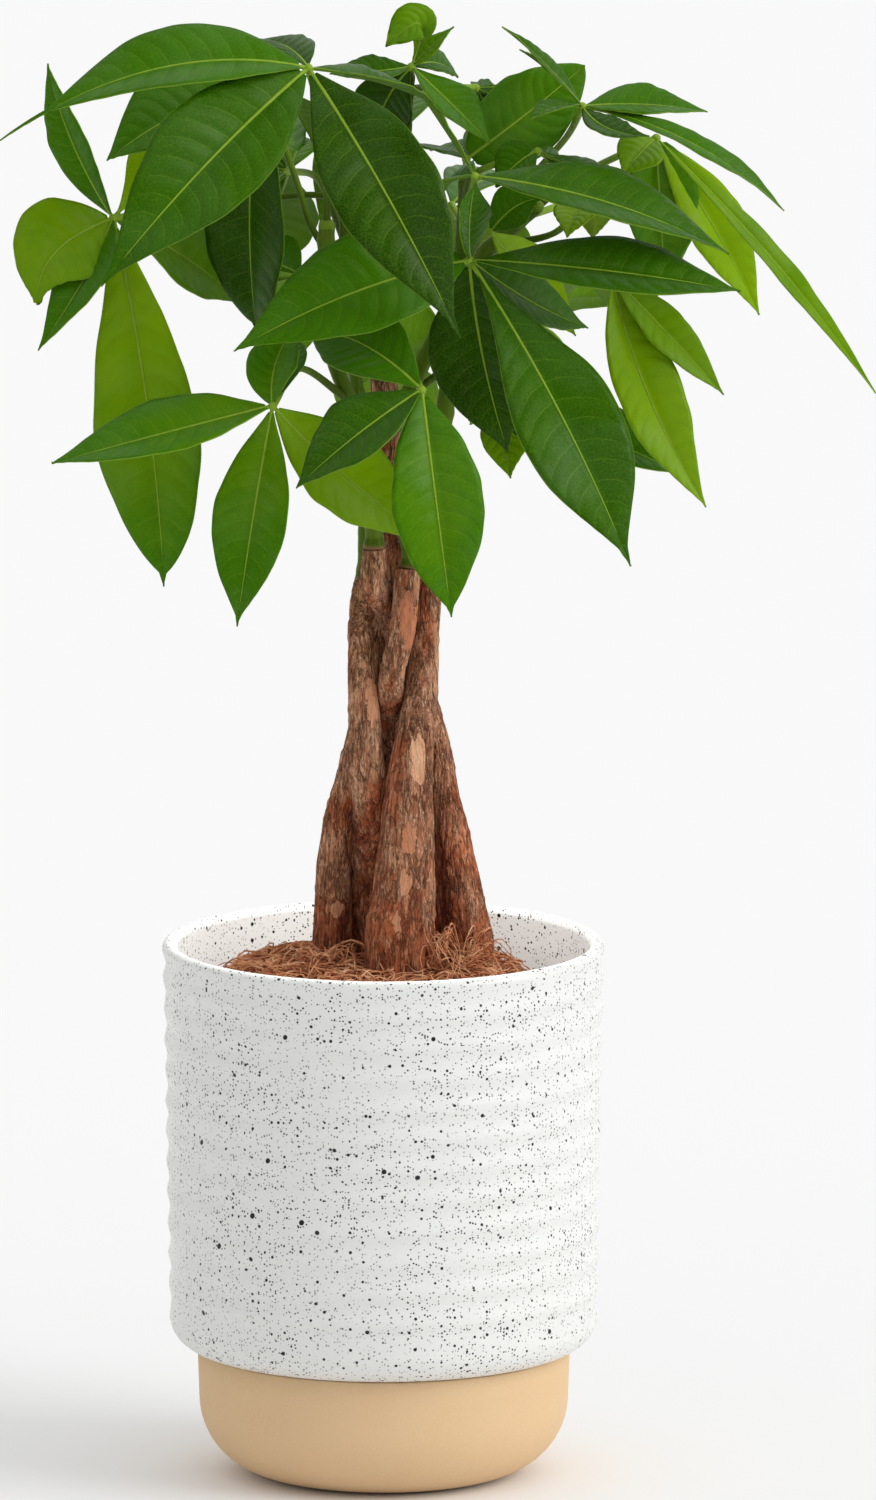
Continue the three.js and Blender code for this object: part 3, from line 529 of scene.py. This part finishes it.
def bark():
    """Brown bark with a net of fine dark slits, redder low down, and pale wood where it has peeled."""
    finish = Finish("bark", "bark", IOR=1.4, Specular_IOR_Level=0.25)
    slit = finish.seam(3, stretch=(1, 1, 0.2), detail=4, rough=0.6, warp=0.25)
    comb = finish.seam(1.5, stretch=(1, 1, 0.16), detail=3, shift=(9, 9, 3))
    fine = finish.seam(1.7, stretch=(1, 1, 0.3), detail=3, shift=(5, 1, 8))

    plate = finish.cloud(6, stretch=(1, 1, 0.4), detail=4, shift=(7, 3, 1))
    tan = finish.ramp(plate, (0.3, ink(130, 80, 54)), (0.5, ink(172, 116, 84)), (0.7, ink(208, 156, 120)))
    red = finish.ramp(plate, (0.3, ink(122, 58, 34)), (0.5, ink(170, 92, 56)), (0.7, ink(206, 128, 88)))
    height = finish.node("SeparateXYZ", {0: finish.own_place()}, output="Z")
    low = height.between(260 * MM, 180 * MM, 0, 0.2)
    rust = finish.cloud(14, stretch=(1, 1, 0.5), detail=3, shift=(1, 9, 2)) + low
    brown = finish.mix(rust.between(0.52, 0.66), tan, red)

    comb_pale = comb.between(0.03, 0.0, 0, 0.75) * rust.between(0.66, 0.5, 0.3, 1)
    combed = finish.mix(comb_pale, brown, ink(230, 188, 156))
    beside_slit = slit.between(0.05, 0.075) * slit.between(0.12, 0.09)
    flake = beside_slit * finish.cloud(5, detail=2).between(0.5, 0.65)
    flaked = finish.mix(flake * 0.7, combed, ink(214, 164, 128))
    split = slit.between(0.04, 0.0).math("MAXIMUM", fine.between(0.03, 0.0, 0, 0.6))
    aged = finish.mix(split * 0.8, flaked, ink(56, 32, 22))

    peel = finish.grain("peel")
    ragged = (2.4 * (finish.cloud(5, stretch=(1, 1, 0.55), detail=4, rough=0.6) - 0.5)
              + 0.9 * (finish.cloud(1.6, stretch=(1, 1, 0.5), detail=3) - 0.5))
    edge = peel + ragged * peel.between(0, 0.15)
    wood = finish.mix(finish.grain("pale"), ink(178, 104, 70), ink(232, 180, 142))
    streak = finish.cloud(3, stretch=(1, 1, 0.3), detail=3).between(0.35, 0.65, 0, 0.5)
    bare = finish.mix(streak, wood, ink(210, 136, 96))
    peeled = finish.mix(edge.between(0.24, 0.3), aged, bare)
    rim = edge.between(0.16, 0.22) * edge.between(0.28, 0.22)
    rimmed = finish.mix(rim * 0.6, peeled, ink(60, 34, 22))

    dotted = finish.mix(specks(finish, 3.6, 0.5, 0.3, (6, 2, 9)) * 0.8, rimmed, ink(206, 140, 104))
    cracked = finish.mix(finish.grain("crack").between(0.35, 0.95, 0, 0.7), dotted, ink(58, 34, 24))
    relief = slit.between(0.0, 0.09) + fine.between(0.0, 0.06, 0, 0.4) + 0.8 * plate
    finish.set(Base_Color=cracked, Roughness=finish.drift(4, 0.74, 0.92),
               Normal=finish.bump(relief, 0.8, 0.8))
    return finish


def green_stem():
    """Stalks, ribs and shoots: woody at tone 0, green from 0.2 on, and pale as new growth from 0.8 on; a
    rib's tone follows its leaflet's, painted glow included.
    """
    finish = Finish("green_stem", "green_stem", Roughness=0.5, IOR=1.4, Specular_IOR_Level=0.25,
                    Specular_Tint=(0.8, 1, 0.4, 1))
    age = finish.grain("tone")
    line = finish.cloud(1.1, stretch=(1, 1, 0.08), detail=3)
    stem = finish.mix(line, ink(42, 62, 6), ink(84, 108, 26))
    palest = finish.mix(finish.cloud(4, detail=2), ink(112, 146, 30), ink(146, 176, 62))
    wood = finish.mix(line, ink(98, 72, 48), ink(138, 108, 74))
    green = finish.mix(age.between(0.4, 0.8), stem, palest)
    finish.set(Base_Color=finish.mix(age.between(0.2, 0.02), green, wood),
               Normal=finish.bump(line, 0.25, 0.5))
    return finish


NET_CELL = 1.2       # width of the meshes in the net of finest veins


def leaf_finish(name, deep, middle, palest, vein, roughness, sheen, coat):
    """A leaflet's face: its tone from deep to palest, partly painted light, with pale thin side veins and a
    net of finer ones.

    row counts the side veins along the rib, and reach runs from 0 at the rib to 1 at the edge.
    """
    finish = Finish(name, "leaf", IOR=1.45, Specular_IOR_Level=sheen, Specular_Tint=(0.7, 1, 0.1, 1),
                    Coat_Roughness=0.36)
    tone, row, reach = finish.grain("tone"), finish.grain("row"), finish.grain("reach")
    mottle = 0.2 * (finish.cloud(15, detail=3) - 0.5) + 0.06 * (finish.cloud(2.5, detail=2) - 0.5)
    # The ramp paints light: its palest end also stands for the glow of leaflets lit from behind, and its deep
    # end also for shade.
    base = finish.ramp(tone + mottle - 0.04 * reach, (0.0, deep), (0.45, middle), (1.0, palest))

    cells = {"Vector": finish.spread(), "Scale": 1 / NET_CELL}
    net = finish.node("TexVoronoi", cells, feature="DISTANCE_TO_EDGE", output="Distance")
    netted = finish.mix(net.between(0.12, 0.0, 0, 0.12), base, vein)
    wobble = 0.3 * (finish.cloud(9, detail=2, shift=(2, 6, 4)) - 0.5)
    off_vein = (row + wobble).math("PINGPONG", 0.5)
    paling = reach.between(0.0, 0.1, 0.4, 1) * reach.between(1.0, 0.4, 0.1, 1)
    veined = finish.mix(off_vein.between(0.045, 0.0) * paling * 0.19, netted, vein)
    edged = finish.mix(reach.between(0.97, 1.0, 0, 0.3), veined, vein)

    glossy = finish.cloud(22, detail=1, shift=(8, 1, 5)).between(0.4, 0.6, 0.4 * coat, 1.6 * coat)
    relief = off_vein.between(0.0, 0.3) + 0.15 * net.between(0.0, 0.3) + 0.5 * finish.cloud(3, detail=2)
    finish.set(Base_Color=edged, Coat_Weight=glossy,
               Roughness=finish.drift(12, roughness - 0.05, roughness + 0.08, (3, 3, 3)),
               Normal=finish.bump(relief, 0.12, 0.5))
    return finish


WHITE_GLAZE, TAN_CLAY = white_glaze(), tan_clay()
COIR_CRUMB, COIR_STRAND = coir_crumb(), coir_strand()
BARK, GREEN_STEM = bark(), green_stem()
# The palest colour of each face also paints the glow of leaflets lit from behind.
LEAF_TOP = leaf_finish("leaf_top", deep=ink(8, 38, 0), middle=ink(56, 108, 0), palest=ink(136, 172, 0),
                       vein=ink(124, 162, 40), roughness=0.42, sheen=0.13, coat=0.15)
LEAF_UNDER = leaf_finish("leaf_underside", deep=ink(54, 88, 8), middle=ink(88, 130, 14),
                         palest=ink(148, 178, 20), vein=ink(150, 180, 74), roughness=0.6, sheen=0.15, coat=0.0)


# ---------------------------------------------------------------- forms

def piece(name, shape, finishes, nodes):
    """Makes a piece of a shape in millimetres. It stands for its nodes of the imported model."""
    bmesh.ops.scale(shape, vec=(MM, MM, MM), verts=shape.verts)
    mesh = bpy.data.meshes.new(name)
    shape.to_mesh(mesh)
    shape.free()
    dress(name, mesh, finishes, nodes)


def dress(name, mesh, finishes, nodes):
    """Makes a piece of a mesh in metres, in these finishes. It rides on the root."""
    mesh.polygons.foreach_set("use_smooth", [True] * len(mesh.polygons))
    for finish in finishes:
        mesh.materials.append(finish.material)
    made = bpy.data.objects.new(name, mesh)
    bpy.context.scene.collection.objects.link(made)
    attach(made, "root")
    if nodes:
        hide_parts(*nodes)


def blank(*grains):
    """An empty shape whose corners can carry these values."""
    shape = bmesh.new()
    for grain in grains:
        shape.verts.layers.float.new(grain)
    return shape


def tube(shape, points, radii, sides, steps, form=None, finish=0, tone=None):
    """Adds a closed round stem along a smooth line. form(corner, outward) shapes it further."""
    made = bmesh.ops.create_grid(shape, x_segments=sides, y_segments=steps, size=0.5)["verts"]
    chord = (points[-1] - points[0]).normalized()
    aside = ACROSS if abs(chord.x) < 0.7 else SEEN_UP
    tones = shape.verts.layers.float.get("tone")
    for corner in made:
        turn, share = (corner.co.x + 0.5) * math.tau, corner.co.y + 0.5
        here, along = smooth_path(points, share)
        side = (aside - along * aside.dot(along)).normalized()
        outward = side * math.cos(turn) + side.cross(along) * math.sin(turn)
        corner.co = here + outward * level_at(radii, share)
        if tone is not None:
            corner[tones] = tone(share) if callable(tone) else tone
        if form:
            form(corner, outward)
    bmesh.ops.remove_doubles(shape, verts=made, dist=SAME_PLACE)
    made = [corner for corner in made if corner.is_valid]
    rims = {edge for corner in made for edge in corner.link_edges if edge.is_boundary}
    bmesh.ops.holes_fill(shape, edges=list(rims), sides=0)
    faces = {face for corner in made for face in corner.link_faces}
    bmesh.ops.recalc_face_normals(shape, faces=list(faces))
    for face in faces:
        face.material_index = finish


def knob(shape, middle, radius, tone, finish=0):
    """Adds a ball, where stems meet or end."""
    tones = shape.verts.layers.float["tone"]
    ball = bmesh.ops.create_icosphere(shape, subdivisions=2, radius=radius,
                                      matrix=Matrix.Translation(middle))
    for corner in ball["verts"]:
        corner[tones] = tone
        for face in corner.link_faces:
            face.material_index = finish


def body_radius(z):
    """The radius of the pot's side at a height, over the crests of its ribs."""
    widening = POT_RADIUS - BODY_BOTTOM_RADIUS
    return BODY_BOTTOM_RADIUS + widening * (z - BODY_BOTTOM) / (POT_HEIGHT - BODY_BOTTOM)


def arc(r, z, radius, start, end, steps):
    """Points on an outline's round stretch about (r, z), from one angle to the other in degrees."""
    angles = [math.radians(start + (end - start) * i / steps) for i in range(steps + 1)]
    return [(r + radius * math.cos(a), z + radius * math.sin(a)) for a in angles]


def spun(outline, sides, closed):
    """A shape turned about the pot's axis from an outline of (radius, height)."""
    shape = bmesh.new()
    corners = [shape.verts.new((r, 0, z)) for r, z in outline]
    edges = [shape.edges.new(pair) for pair in zip(corners, corners[1:])]
    if closed:
        edges.append(shape.edges.new((corners[-1], corners[0])))
    bmesh.ops.spin(shape, geom=corners + edges, axis=(0, 0, 1), cent=(0, 0, 0), angle=math.tau,
                   steps=sides, use_merge=True, use_duplicate=False)
    bmesh.ops.remove_doubles(shape, verts=shape.verts, dist=SAME_PLACE)
    bmesh.ops.recalc_face_normals(shape, faces=shape.faces)
    return shape


def rib_hollow(z):
    """How deep the pot's side lies below its crests at a height, as a share of the depth of a rib."""
    from_crest = abs((z - FIRST_RIB + RIB_PITCH / 2) % RIB_PITCH - RIB_PITCH / 2) / (RIB_PITCH / 2)
    soft = math.hypot(from_crest, RIB_EDGE) - RIB_EDGE
    return 1 - (1 - min(soft, 1)) ** RIB_HOLLOW


def pot_body():
    low, high = FIRST_RIB - RIB_PITCH / 2, FIRST_RIB + (RIBS - 0.5) * RIB_PITCH
    steps = 8 * RIBS
    side = []
    for i in range(steps + 1):
        z = low + (high - low) * i / steps
        side.append((body_radius(z) - RIB_DEPTH * rib_hollow(z), z))
    bottom, flat = BODY_BOTTOM + GAP, BODY_BOTTOM_RADIUS - BODY_CORNER
    lip, inside = WALL / 2, BASE_RADIUS - WALL
    outline = [(inside, bottom), (inside + (flat - inside) * 0.5, bottom)]
    outline += arc(flat, bottom + BODY_CORNER, BODY_CORNER, -90, -6, 14)
    outline += side
    outline += arc(POT_RADIUS - lip, POT_HEIGHT - lip, lip, -12, 192, 16)
    outline += [(POT_RADIUS - WALL - 0.4, 172), (POT_RADIUS - WALL - 1.2, 130),
                (POT_RADIUS - WALL - 2.5, BODY_BOTTOM + BODY_CORNER + 8), (inside, BODY_BOTTOM + 6)]
    shape = spun(outline, sides=160, closed=True)
    for corner in shape.verts:
        x, y, z = corner.co
        r = math.hypot(x, y)
        on_outer_side = r > body_radius(z) - WALL / 2
        if on_outer_side and BODY_BOTTOM + 8 < z < POT_HEIGHT:
            by_hand = 0.28 * wander(x / 17, y / 17, z / 4.4)
            by_hand += 0.16 * wander(x / 40, y / 40, z / 30 + 9)
            corner.co.x += by_hand * x / r
            corner.co.y += by_hand * y / r
    piece("pot_body_glazed", shape, [WHITE_GLAZE], ["pot_body"])


def pot_base():
    inner, middle = FOOT_CORNER - WALL, BASE_RADIUS - 0.6 - FOOT_CORNER
    outline = [(0, 0), (FOOT_RADIUS * 0.6, 0), (FOOT_RADIUS - 1.5, 0), (FOOT_RADIUS, 0.15)]
    outline += arc(middle, FOOT_CORNER, FOOT_CORNER, -85, 0, 22)
    outline += [(BASE_RADIUS - 0.3, 34), (BASE_RADIUS, BODY_BOTTOM - 0.4),
                (BASE_RADIUS - 0.4, BODY_BOTTOM), (BASE_RADIUS - WALL, BODY_BOTTOM)]
    outline += arc(middle, FLOOR + inner, inner, 0, -90, 10)
    outline += [(0, FLOOR)]
    piece("pot_base_bare", spun(outline, sides=128, closed=False), [TAN_CLAY], ["pot_base"])


def soil_height(x, y):
    """The top of the coir at a place, with its lumps."""
    out = math.hypot(x - SOIL_ACROSS, y) / SOIL_RADIUS
    lumps = 1.3 * wander(x / 9, y / 9, 3) + 0.7 * wander(x / 3.2, y / 3.2, 8)
    shoulder = 3.5 * max(0, out - 0.86) / 0.14
    return SOIL_TOP + SOIL_MOUND * (1 - out ** 2) * 0.6 + lumps - shoulder


def root_ball():
    outline = [(0, FLOOR + GAP), (30, FLOOR + GAP), (44, 26), (SOIL_RADIUS - 4, 70), (SOIL_RADIUS, 140)]
    outline += [(SOIL_RADIUS, z) for z in (150, 155, 159, 162, 164, 166, 168)]
    outline += [(SOIL_RADIUS - 1, 170.5)]
    top, rings = SOIL_RADIUS - 3, 34
    outline += [(top - top * i / rings, SOIL_TOP) for i in range(rings)] + [(0, SOIL_TOP)]
    shape = spun(outline, sides=110, closed=False)
    for corner in shape.verts:
        x, y, z = corner.co
        if z > 145:
            r = math.hypot(x, y) or 1
            rough = 0.9 * wander(x / 5, y / 5, z / 5)
            corner.co.x += SOIL_ACROSS + rough * x / r
            corner.co.y += rough * y / r
            if z > 169:
                corner.co.z = soil_height(corner.co.x, corner.co.y) - (SOIL_TOP - z)
        else:
            corner.co.x += SOIL_ACROSS
    piece("root_ball_coir", shape, [COIR_CRUMB], ["root_ball"])


STRANDS = 1100       # how many places are tried, of which those on the round root ball are used
STRAND_STEPS = 10
STRAND_RADII = (0.22, 0.3, 0.4, 0.54)

# Clumps of fibres, as (x, y, width, height)
CLUMPS = [(22, -14, 10, 17), (-20, -8, 9, 9), (30, -6, 7, 11), (-34, -10, 10, 5)]


def coir_strands():
    """Loose fibres on the coir: about three in four lie in low curls, and the others pile up in clumps."""
    draw = random.Random(11)
    curve = bpy.data.curves.new("coir_strands", "CURVE")
    curve.dimensions, curve.use_fill_caps = "3D", True
    curve.bevel_depth, curve.bevel_resolution = MM, 0
    for i in range(STRANDS):
        x, y = draw.uniform(-1, 1), draw.uniform(-1, 1)
        if math.hypot(x, y) > 1:
            continue
        lift, reach = draw.uniform(0.2, 2.8), draw.uniform(8, 26)
        x, y = SOIL_ACROSS + x * (SOIL_RADIUS - 4), y * (SOIL_RADIUS - 4)
        if i % 4 == 0:
            clump_x, clump_y, wide, high = CLUMPS[i // 4 % len(CLUMPS)]
            x, y = draw.gauss(clump_x, wide / 2), draw.gauss(clump_y, wide / 3)
            lift = draw.uniform(0.3, high)
        heading, curl = draw.uniform(0, math.tau), draw.gauss(0, 0.45)
        thick = draw.choice(STRAND_RADII)
        line = curve.splines.new("POLY")
        line.points.add(STRAND_STEPS)
        for k, point in enumerate(line.points):
            share = k / STRAND_STEPS
            rise = lift * math.sin(math.pi * (0.15 + 0.8 * share)) + 0.35 * math.sin(5 * share + heading)
            out = math.hypot(x - SOIL_ACROSS, y)
            if out > SOIL_RADIUS + 1.5:
                edge = SOIL_RADIUS + 0.5
                x, y = SOIL_ACROSS + (x - SOIL_ACROSS) * edge / out, y * edge / out
            point.co = (x * MM, y * MM, (soil_height(x, y) + max(rise, -0.2)) * MM, 1)
            point.radius = thick * (1 - 0.6 * share)
            heading += curl + draw.uniform(-0.35, 0.35)
            x += reach / STRAND_STEPS * math.cos(heading)
            y += reach / STRAND_STEPS * math.sin(heading)
    holder = bpy.data.objects.new("coir_strands_line", curve)
    mesh = bpy.data.meshes.new_from_object(holder)
    bpy.data.objects.remove(holder)
    mesh.materials.clear()
    dress("coir_strands", mesh, [COIR_STRAND], [])


def trunk(name, stations):
    """A trunk with the relief of its bark. Its corners carry how cracked, how peeled and how pale it is."""
    shape = blank("crack", "peel", "pale")
    cracks, peels, pales = (shape.verts.layers.float[grain] for grain in ("crack", "peel", "pale"))
    seed = 31 * int(name[-1])
    points = [Vector(station[:3]) for station in stations]

    def relief(corner, outward):
        x, y, z = corner.co
        lumps = wander(x / 8, y / 8, z / 15 + seed)
        plates = wander(x / 2.6, y / 2.6, z / 11 + seed)
        fine = wander(x / 1.3, y / 1.3, z / 7 + seed)
        ring = max(0, math.sin(z / 3.7 + seed + 0.8 * wander(x / 9, y / 9, z / 9))) ** 14
        crack = max(0, 1 - abs(plates) * 5.5) * 0.6 + max(0, 1 - abs(fine) * 5) * 0.4
        up = z * math.cos(LOOK_DOWN) + y * math.sin(LOOK_DOWN)
        peel, pale = 0, 0
        for across, seen, wide, high, paleness in PEELED.get(name, []):
            near = 1 - math.hypot((x - across) / wide, (up - seen) / high)
            if outward.y < 0.3 and near > peel:
                peel, pale = near, paleness
        covered = 1 - min(1, 2 * peel)
        corner[cracks], corner[peels], corner[pales] = crack * covered, peel, pale
        bark_rise = covered * (0.25 * plates - 0.55 * crack + 0.3 * ring)
        corner.co += outward * (0.45 * lumps + bark_rise - 0.25 * (1 - covered))

    radii = [station[3] for station in stations]
    tube(shape, points, radii, sides=84, steps=26 * len(stations), form=relief)
    piece(name + "_bark", shape, [BARK], [name])


def shoot(name):
    """A shoot with the rings where leaves have dropped. It is woody at its foot."""
    shape = blank("tone")
    radii = [station[3] for station in SHOOTS[name][1]]
    points = shoot_points(name)
    seed = 7 * int(name[-1])

    def relief(corner, outward):
        ring = max(0, math.sin(corner.co.z / 4.2 + seed)) ** 10
        corner.co += outward * (0.35 * ring + 0.15 * noise.noise(corner.co / 3))

    tube(shape, points, [radii[0] + 0.6, radii[0] + 0.1, *radii], sides=20, steps=26 * len(points),
         form=relief, tone=lambda share: min(0.5, 4 * share))
    knob(shape, points[-1], radii[-1] * 1.08, tone=0.6)
    piece(name + "_stem", shape, [GREEN_STEM], [name])


ROWS_PER_VEIN = 6
COLUMNS = 14
BLADE_START = 0.03   # where a leaflet's blade starts along its rib, from the hub
TIP_HALF = 0.12      # half the width of its very tip
RIB_END = 0.96       # where the raised rib ends
RIB_TAPER = (1.4, 1.2, 0.95, 0.8, 0.7, 0.58, 0.46, 0.34, 0.2)


def fullness(t, peak=0.49, power=1.1, drip=0.04):
    """A leaflet's width at t along its rib, as a share of its widest.

    It is widest at peak, its ends are slimmer with more power, and it ends in a narrow drip of that length.
    """
    body = min(t / (1 - drip), 1) ** (math.log(0.5) / math.log(peak))
    return max(0, math.sin(math.pi * body)) ** power + 0.09 * min(1, (1 - t) / drip) * t ** 3


def thicken(shape, corners):
    """Gives the sheet through these corners its thickness. Its underside is in the second finish."""
    bmesh.ops.remove_doubles(shape, verts=corners, dist=10 * SAME_PLACE)
    sheet = {patch for corner in corners if corner.is_valid for patch in corner.link_faces}
    shape.normal_update()
    grown = bmesh.ops.extrude_face_region(shape, geom=list(sheet), use_keep_orig=True)["geom"]
    under = {part for part in grown if isinstance(part, bmesh.types.BMVert)}
    for corner in under:
        corner.co -= corner.normal * BLADE
    below = {patch for corner in under for patch in corner.link_faces}
    for patch in below:
        patch.material_index = 1
    bmesh.ops.recalc_face_normals(shape, faces=list(sheet | below))


def blade(shape, hub, row, draw):
    """Adds one leaflet: a quilted sheet along its rib, given a thickness, and the rib itself."""
    tip, bow, (wide, tilt, turn, tone), outline = place(row[:3]), place(row[3:6]), row[6:10], row[10:13]
    # A tone that falls towards the tip is painted shade.
    painted_shade_slope = row[13] if len(row) > 13 else 0
    knee = (hub + tip) / 2 + 2 * bow
    length = (tip - hub).length
    tilt, turn = math.radians(tilt), math.radians(turn)
    face = (ACROSS * math.cos(tilt) * math.sin(turn) + SEEN_UP * math.sin(tilt)
            - SEEN_BACK * math.cos(tilt) * math.cos(turn))
    pairs = round(7 + length / 15)
    quilt = 0.1 + 0.009 * wide
    wave, seed = draw.uniform(0.5, 1.5), draw.uniform(0, 90)
    tones, rows, reaches = (shape.verts.layers.float[grain] for grain in ("tone", "row", "reach"))

    def frame_at(t):
        """The point, the direction along and the direction out of the face at t along the rib."""
        here = hub * (1 - t) ** 2 + knee * 2 * t * (1 - t) + tip * t * t
        along = ((knee - hub) * (1 - t) + (tip - knee) * t).normalized()
        out = (face - along * face.dot(along)).normalized()
        return here, along, out

    made = bmesh.ops.create_grid(shape, x_segments=COLUMNS, y_segments=ROWS_PER_VEIN * pairs, size=0.5)
    for corner in made["verts"]:
        s, v = 2 * corner.co.x, corner.co.y + 0.5
        reach = abs(s)
        slant = wide / length * (0.14 * reach + 0.2 * reach ** 3)
        t = BLADE_START + (1 - BLADE_START) * min(1, v + slant * math.sin(math.pi * v) ** 0.8)
        here, along, out = frame_at(t)
        full = fullness(t, *outline)
        edge = 1 + 0.07 * wander(7 * t, math.copysign(5, s), seed)
        half = max(TIP_HALF, wide / 2 * full * edge) if t < 1 else TIP_HALF
        phase = (pairs * v) % 1
        bulge = math.sin(math.pi * phase) ** 1.3 * math.sin(math.pi * min(1, reach ** 0.75)) ** 0.6
        taper = min(1, full) ** 0.5
        ripple = wander(3.2 * t, math.copysign(2, s), seed)
        frill = wander(13 * t, math.copysign(3, s), seed)
        lift = half * (0.42 * reach - 0.17 * reach ** 2) + quilt * taper * (bulge - 0.5)
        lift += (wave * ripple + 0.5 * frill * reach) * reach ** 2 * taper
        lift -= 0.25 * math.exp(-(s * 9) ** 2) * taper
        corner.co = here + along.cross(out) * s * half * 0.97 + out * (lift + BLADE / 2)
        # The stored tone carries painted light. Where the slope is below 0, it darkens towards the tip as
        # painted shade.
        corner[tones], corner[rows], corner[reaches] = tone + painted_shade_slope * (t - 0.5), pairs * v, reach
    thicken(shape, made["verts"])

    line = []
    for i in range(len(RIB_TAPER)):
        here, along, out = frame_at(RIB_END * i / (len(RIB_TAPER) - 1))
        line.append(here - out * 0.05)
    thick = 0.3 + 0.008 * wide
    # The rib follows its leaflet's tone, and with it that tone's painted glow and shade.
    tube(shape, line, [thick * k for k in RIB_TAPER], sides=8, steps=24, finish=2, tone=0.72 + 0.25 * tone)


def leaf(name):
    """A leaf: its leaflets, the stalk that bears them, and the hub where they meet."""
    shoot_name, share, stalk, hub_place, leaflets = LEAVES[name]
    draw = random.Random(name)
    shape = blank("tone", "row", "reach")
    hub = place(hub_place)
    for row in leaflets:
        blade(shape, hub, row, draw)
    start = smooth_path(shoot_points(shoot_name), share)[0]
    points = [start] + [place(seen) for seen in stalk] + [hub]
    radii = [1.5] + [STALK_RADIUS] * len(stalk) + [1.3]
    tube(shape, points, radii, sides=12, steps=14 * len(points), finish=2,
         tone=lambda along: 0.35 + 0.4 * along)
    knob(shape, hub, HUB_RADIUS, tone=0.8, finish=2)
    piece(name + "_grown", shape, [LEAF_TOP, LEAF_UNDER, GREEN_STEM], [name])


pot_body()
pot_base()
root_ball()
coir_strands()
for name, stations in TRUNKS.items():
    trunk(name, stations)
for name in SHOOTS:
    shoot(name)
for name in LEAVES:
    leaf(name)


# ---------------------------------------------------------------- studio

PHOTO_MIDDLE = Vector((0.01845, 0, 0.2487))        # what the middle of the photograph shows
PHOTO_HEIGHT = 0.5079                              # how much it takes in from top to bottom
CAMERA_AWAY = 9
CAMERA_UP = math.radians(10.6)
SKY_LEVEL = 0.62                                   # how bright it is
SKY_SLOPE = (0.1, 0.12, 0.34)                      # how much brighter towards +X, +Y and +Z
KEY_TURN, KEY_RISE = math.radians(68), math.radians(30)   # it stands to the right
KEY_SPREAD = math.radians(40)
KEY_POWER = 1.3
RIM_LAMP_PLACE = Vector((0, 0, 0.24))              # it lights the inside of the pot alone
RIM_LAMP_SIZE = 0.1
RIM_LAMP_POWER = 0.17
PAPER_LEVEL = -0.0004                              # the floor lies just under the foot


def lamp(name, kind, where, target, power):
    light = bpy.data.lights.new(name, kind)
    light.energy = power
    made = bpy.data.objects.new(name, light)
    made.location = where
    made.rotation_mode = "QUATERNION"
    made.rotation_quaternion = (Vector(target) - Vector(where)).to_track_quat("-Z", "Y")
    made.visible_camera = False
    bpy.context.scene.collection.objects.link(made)
    return made


def studio():
    scene = bpy.context.scene
    scene.view_settings.view_transform = "Standard"
    camera = bpy.data.objects.new("camera", bpy.data.cameras.new("camera"))
    camera.data.lens = camera.data.sensor_width * CAMERA_AWAY / PHOTO_HEIGHT
    camera.location = PHOTO_MIDDLE + CAMERA_AWAY * Vector((0, -math.cos(CAMERA_UP), math.sin(CAMERA_UP)))
    camera.rotation_euler = (math.pi / 2 - CAMERA_UP, 0, 0)
    scene.collection.objects.link(camera)
    scene.camera = camera

    floor_shape = bmesh.new()
    bmesh.ops.create_grid(floor_shape, x_segments=2, y_segments=2, size=20)
    floor_mesh = bpy.data.meshes.new("floor")
    floor_shape.to_mesh(floor_mesh)
    floor_shape.free()
    paper = Finish("floor_paper", "floor", Base_Color=(0.9, 0.9, 0.9, 1), Roughness=1)
    floor_mesh.materials.append(paper.material)
    floor = bpy.data.objects.new("floor", floor_mesh)
    floor.location.z = PAPER_LEVEL
    scene.collection.objects.link(floor)

    world = bpy.data.worlds.new("studio")
    scene.world = world
    world.use_nodes = True
    nodes, links = world.node_tree.nodes, world.node_tree.links
    toward = nodes.new("ShaderNodeTexCoord")
    brightness = nodes.new("ShaderNodeVectorMath")
    brightness.operation = "DOT_PRODUCT"
    brightness.inputs[1].default_value = SKY_SLOPE
    total = nodes.new("ShaderNodeMath")
    total.inputs[1].default_value = SKY_LEVEL
    links.new(toward.outputs["Generated"], brightness.inputs[0])
    links.new(brightness.outputs["Value"], total.inputs[0])
    links.new(total.outputs[0], nodes["Background"].inputs["Strength"])
    nodes["Background"].inputs["Color"].default_value = (1, 1, 1, 1)

    level = Vector((math.sin(KEY_TURN), -math.cos(KEY_TURN), 0)) * math.cos(KEY_RISE)
    key = lamp("key", "SUN", level + Vector((0, 0, math.sin(KEY_RISE))), (0, 0, 0), KEY_POWER)
    key.data.angle = KEY_SPREAD
    rim = lamp("rim", "AREA", RIM_LAMP_PLACE, (0, 0, 0), RIM_LAMP_POWER)
    rim.data.shape, rim.data.size = "DISK", RIM_LAMP_SIZE
    rim.light_linking.receiver_collection = bpy.data.collections.new("inside_of_the_pot")
    rim.light_linking.receiver_collection.objects.link(bpy.data.objects["pot_body_glazed"])


studio()
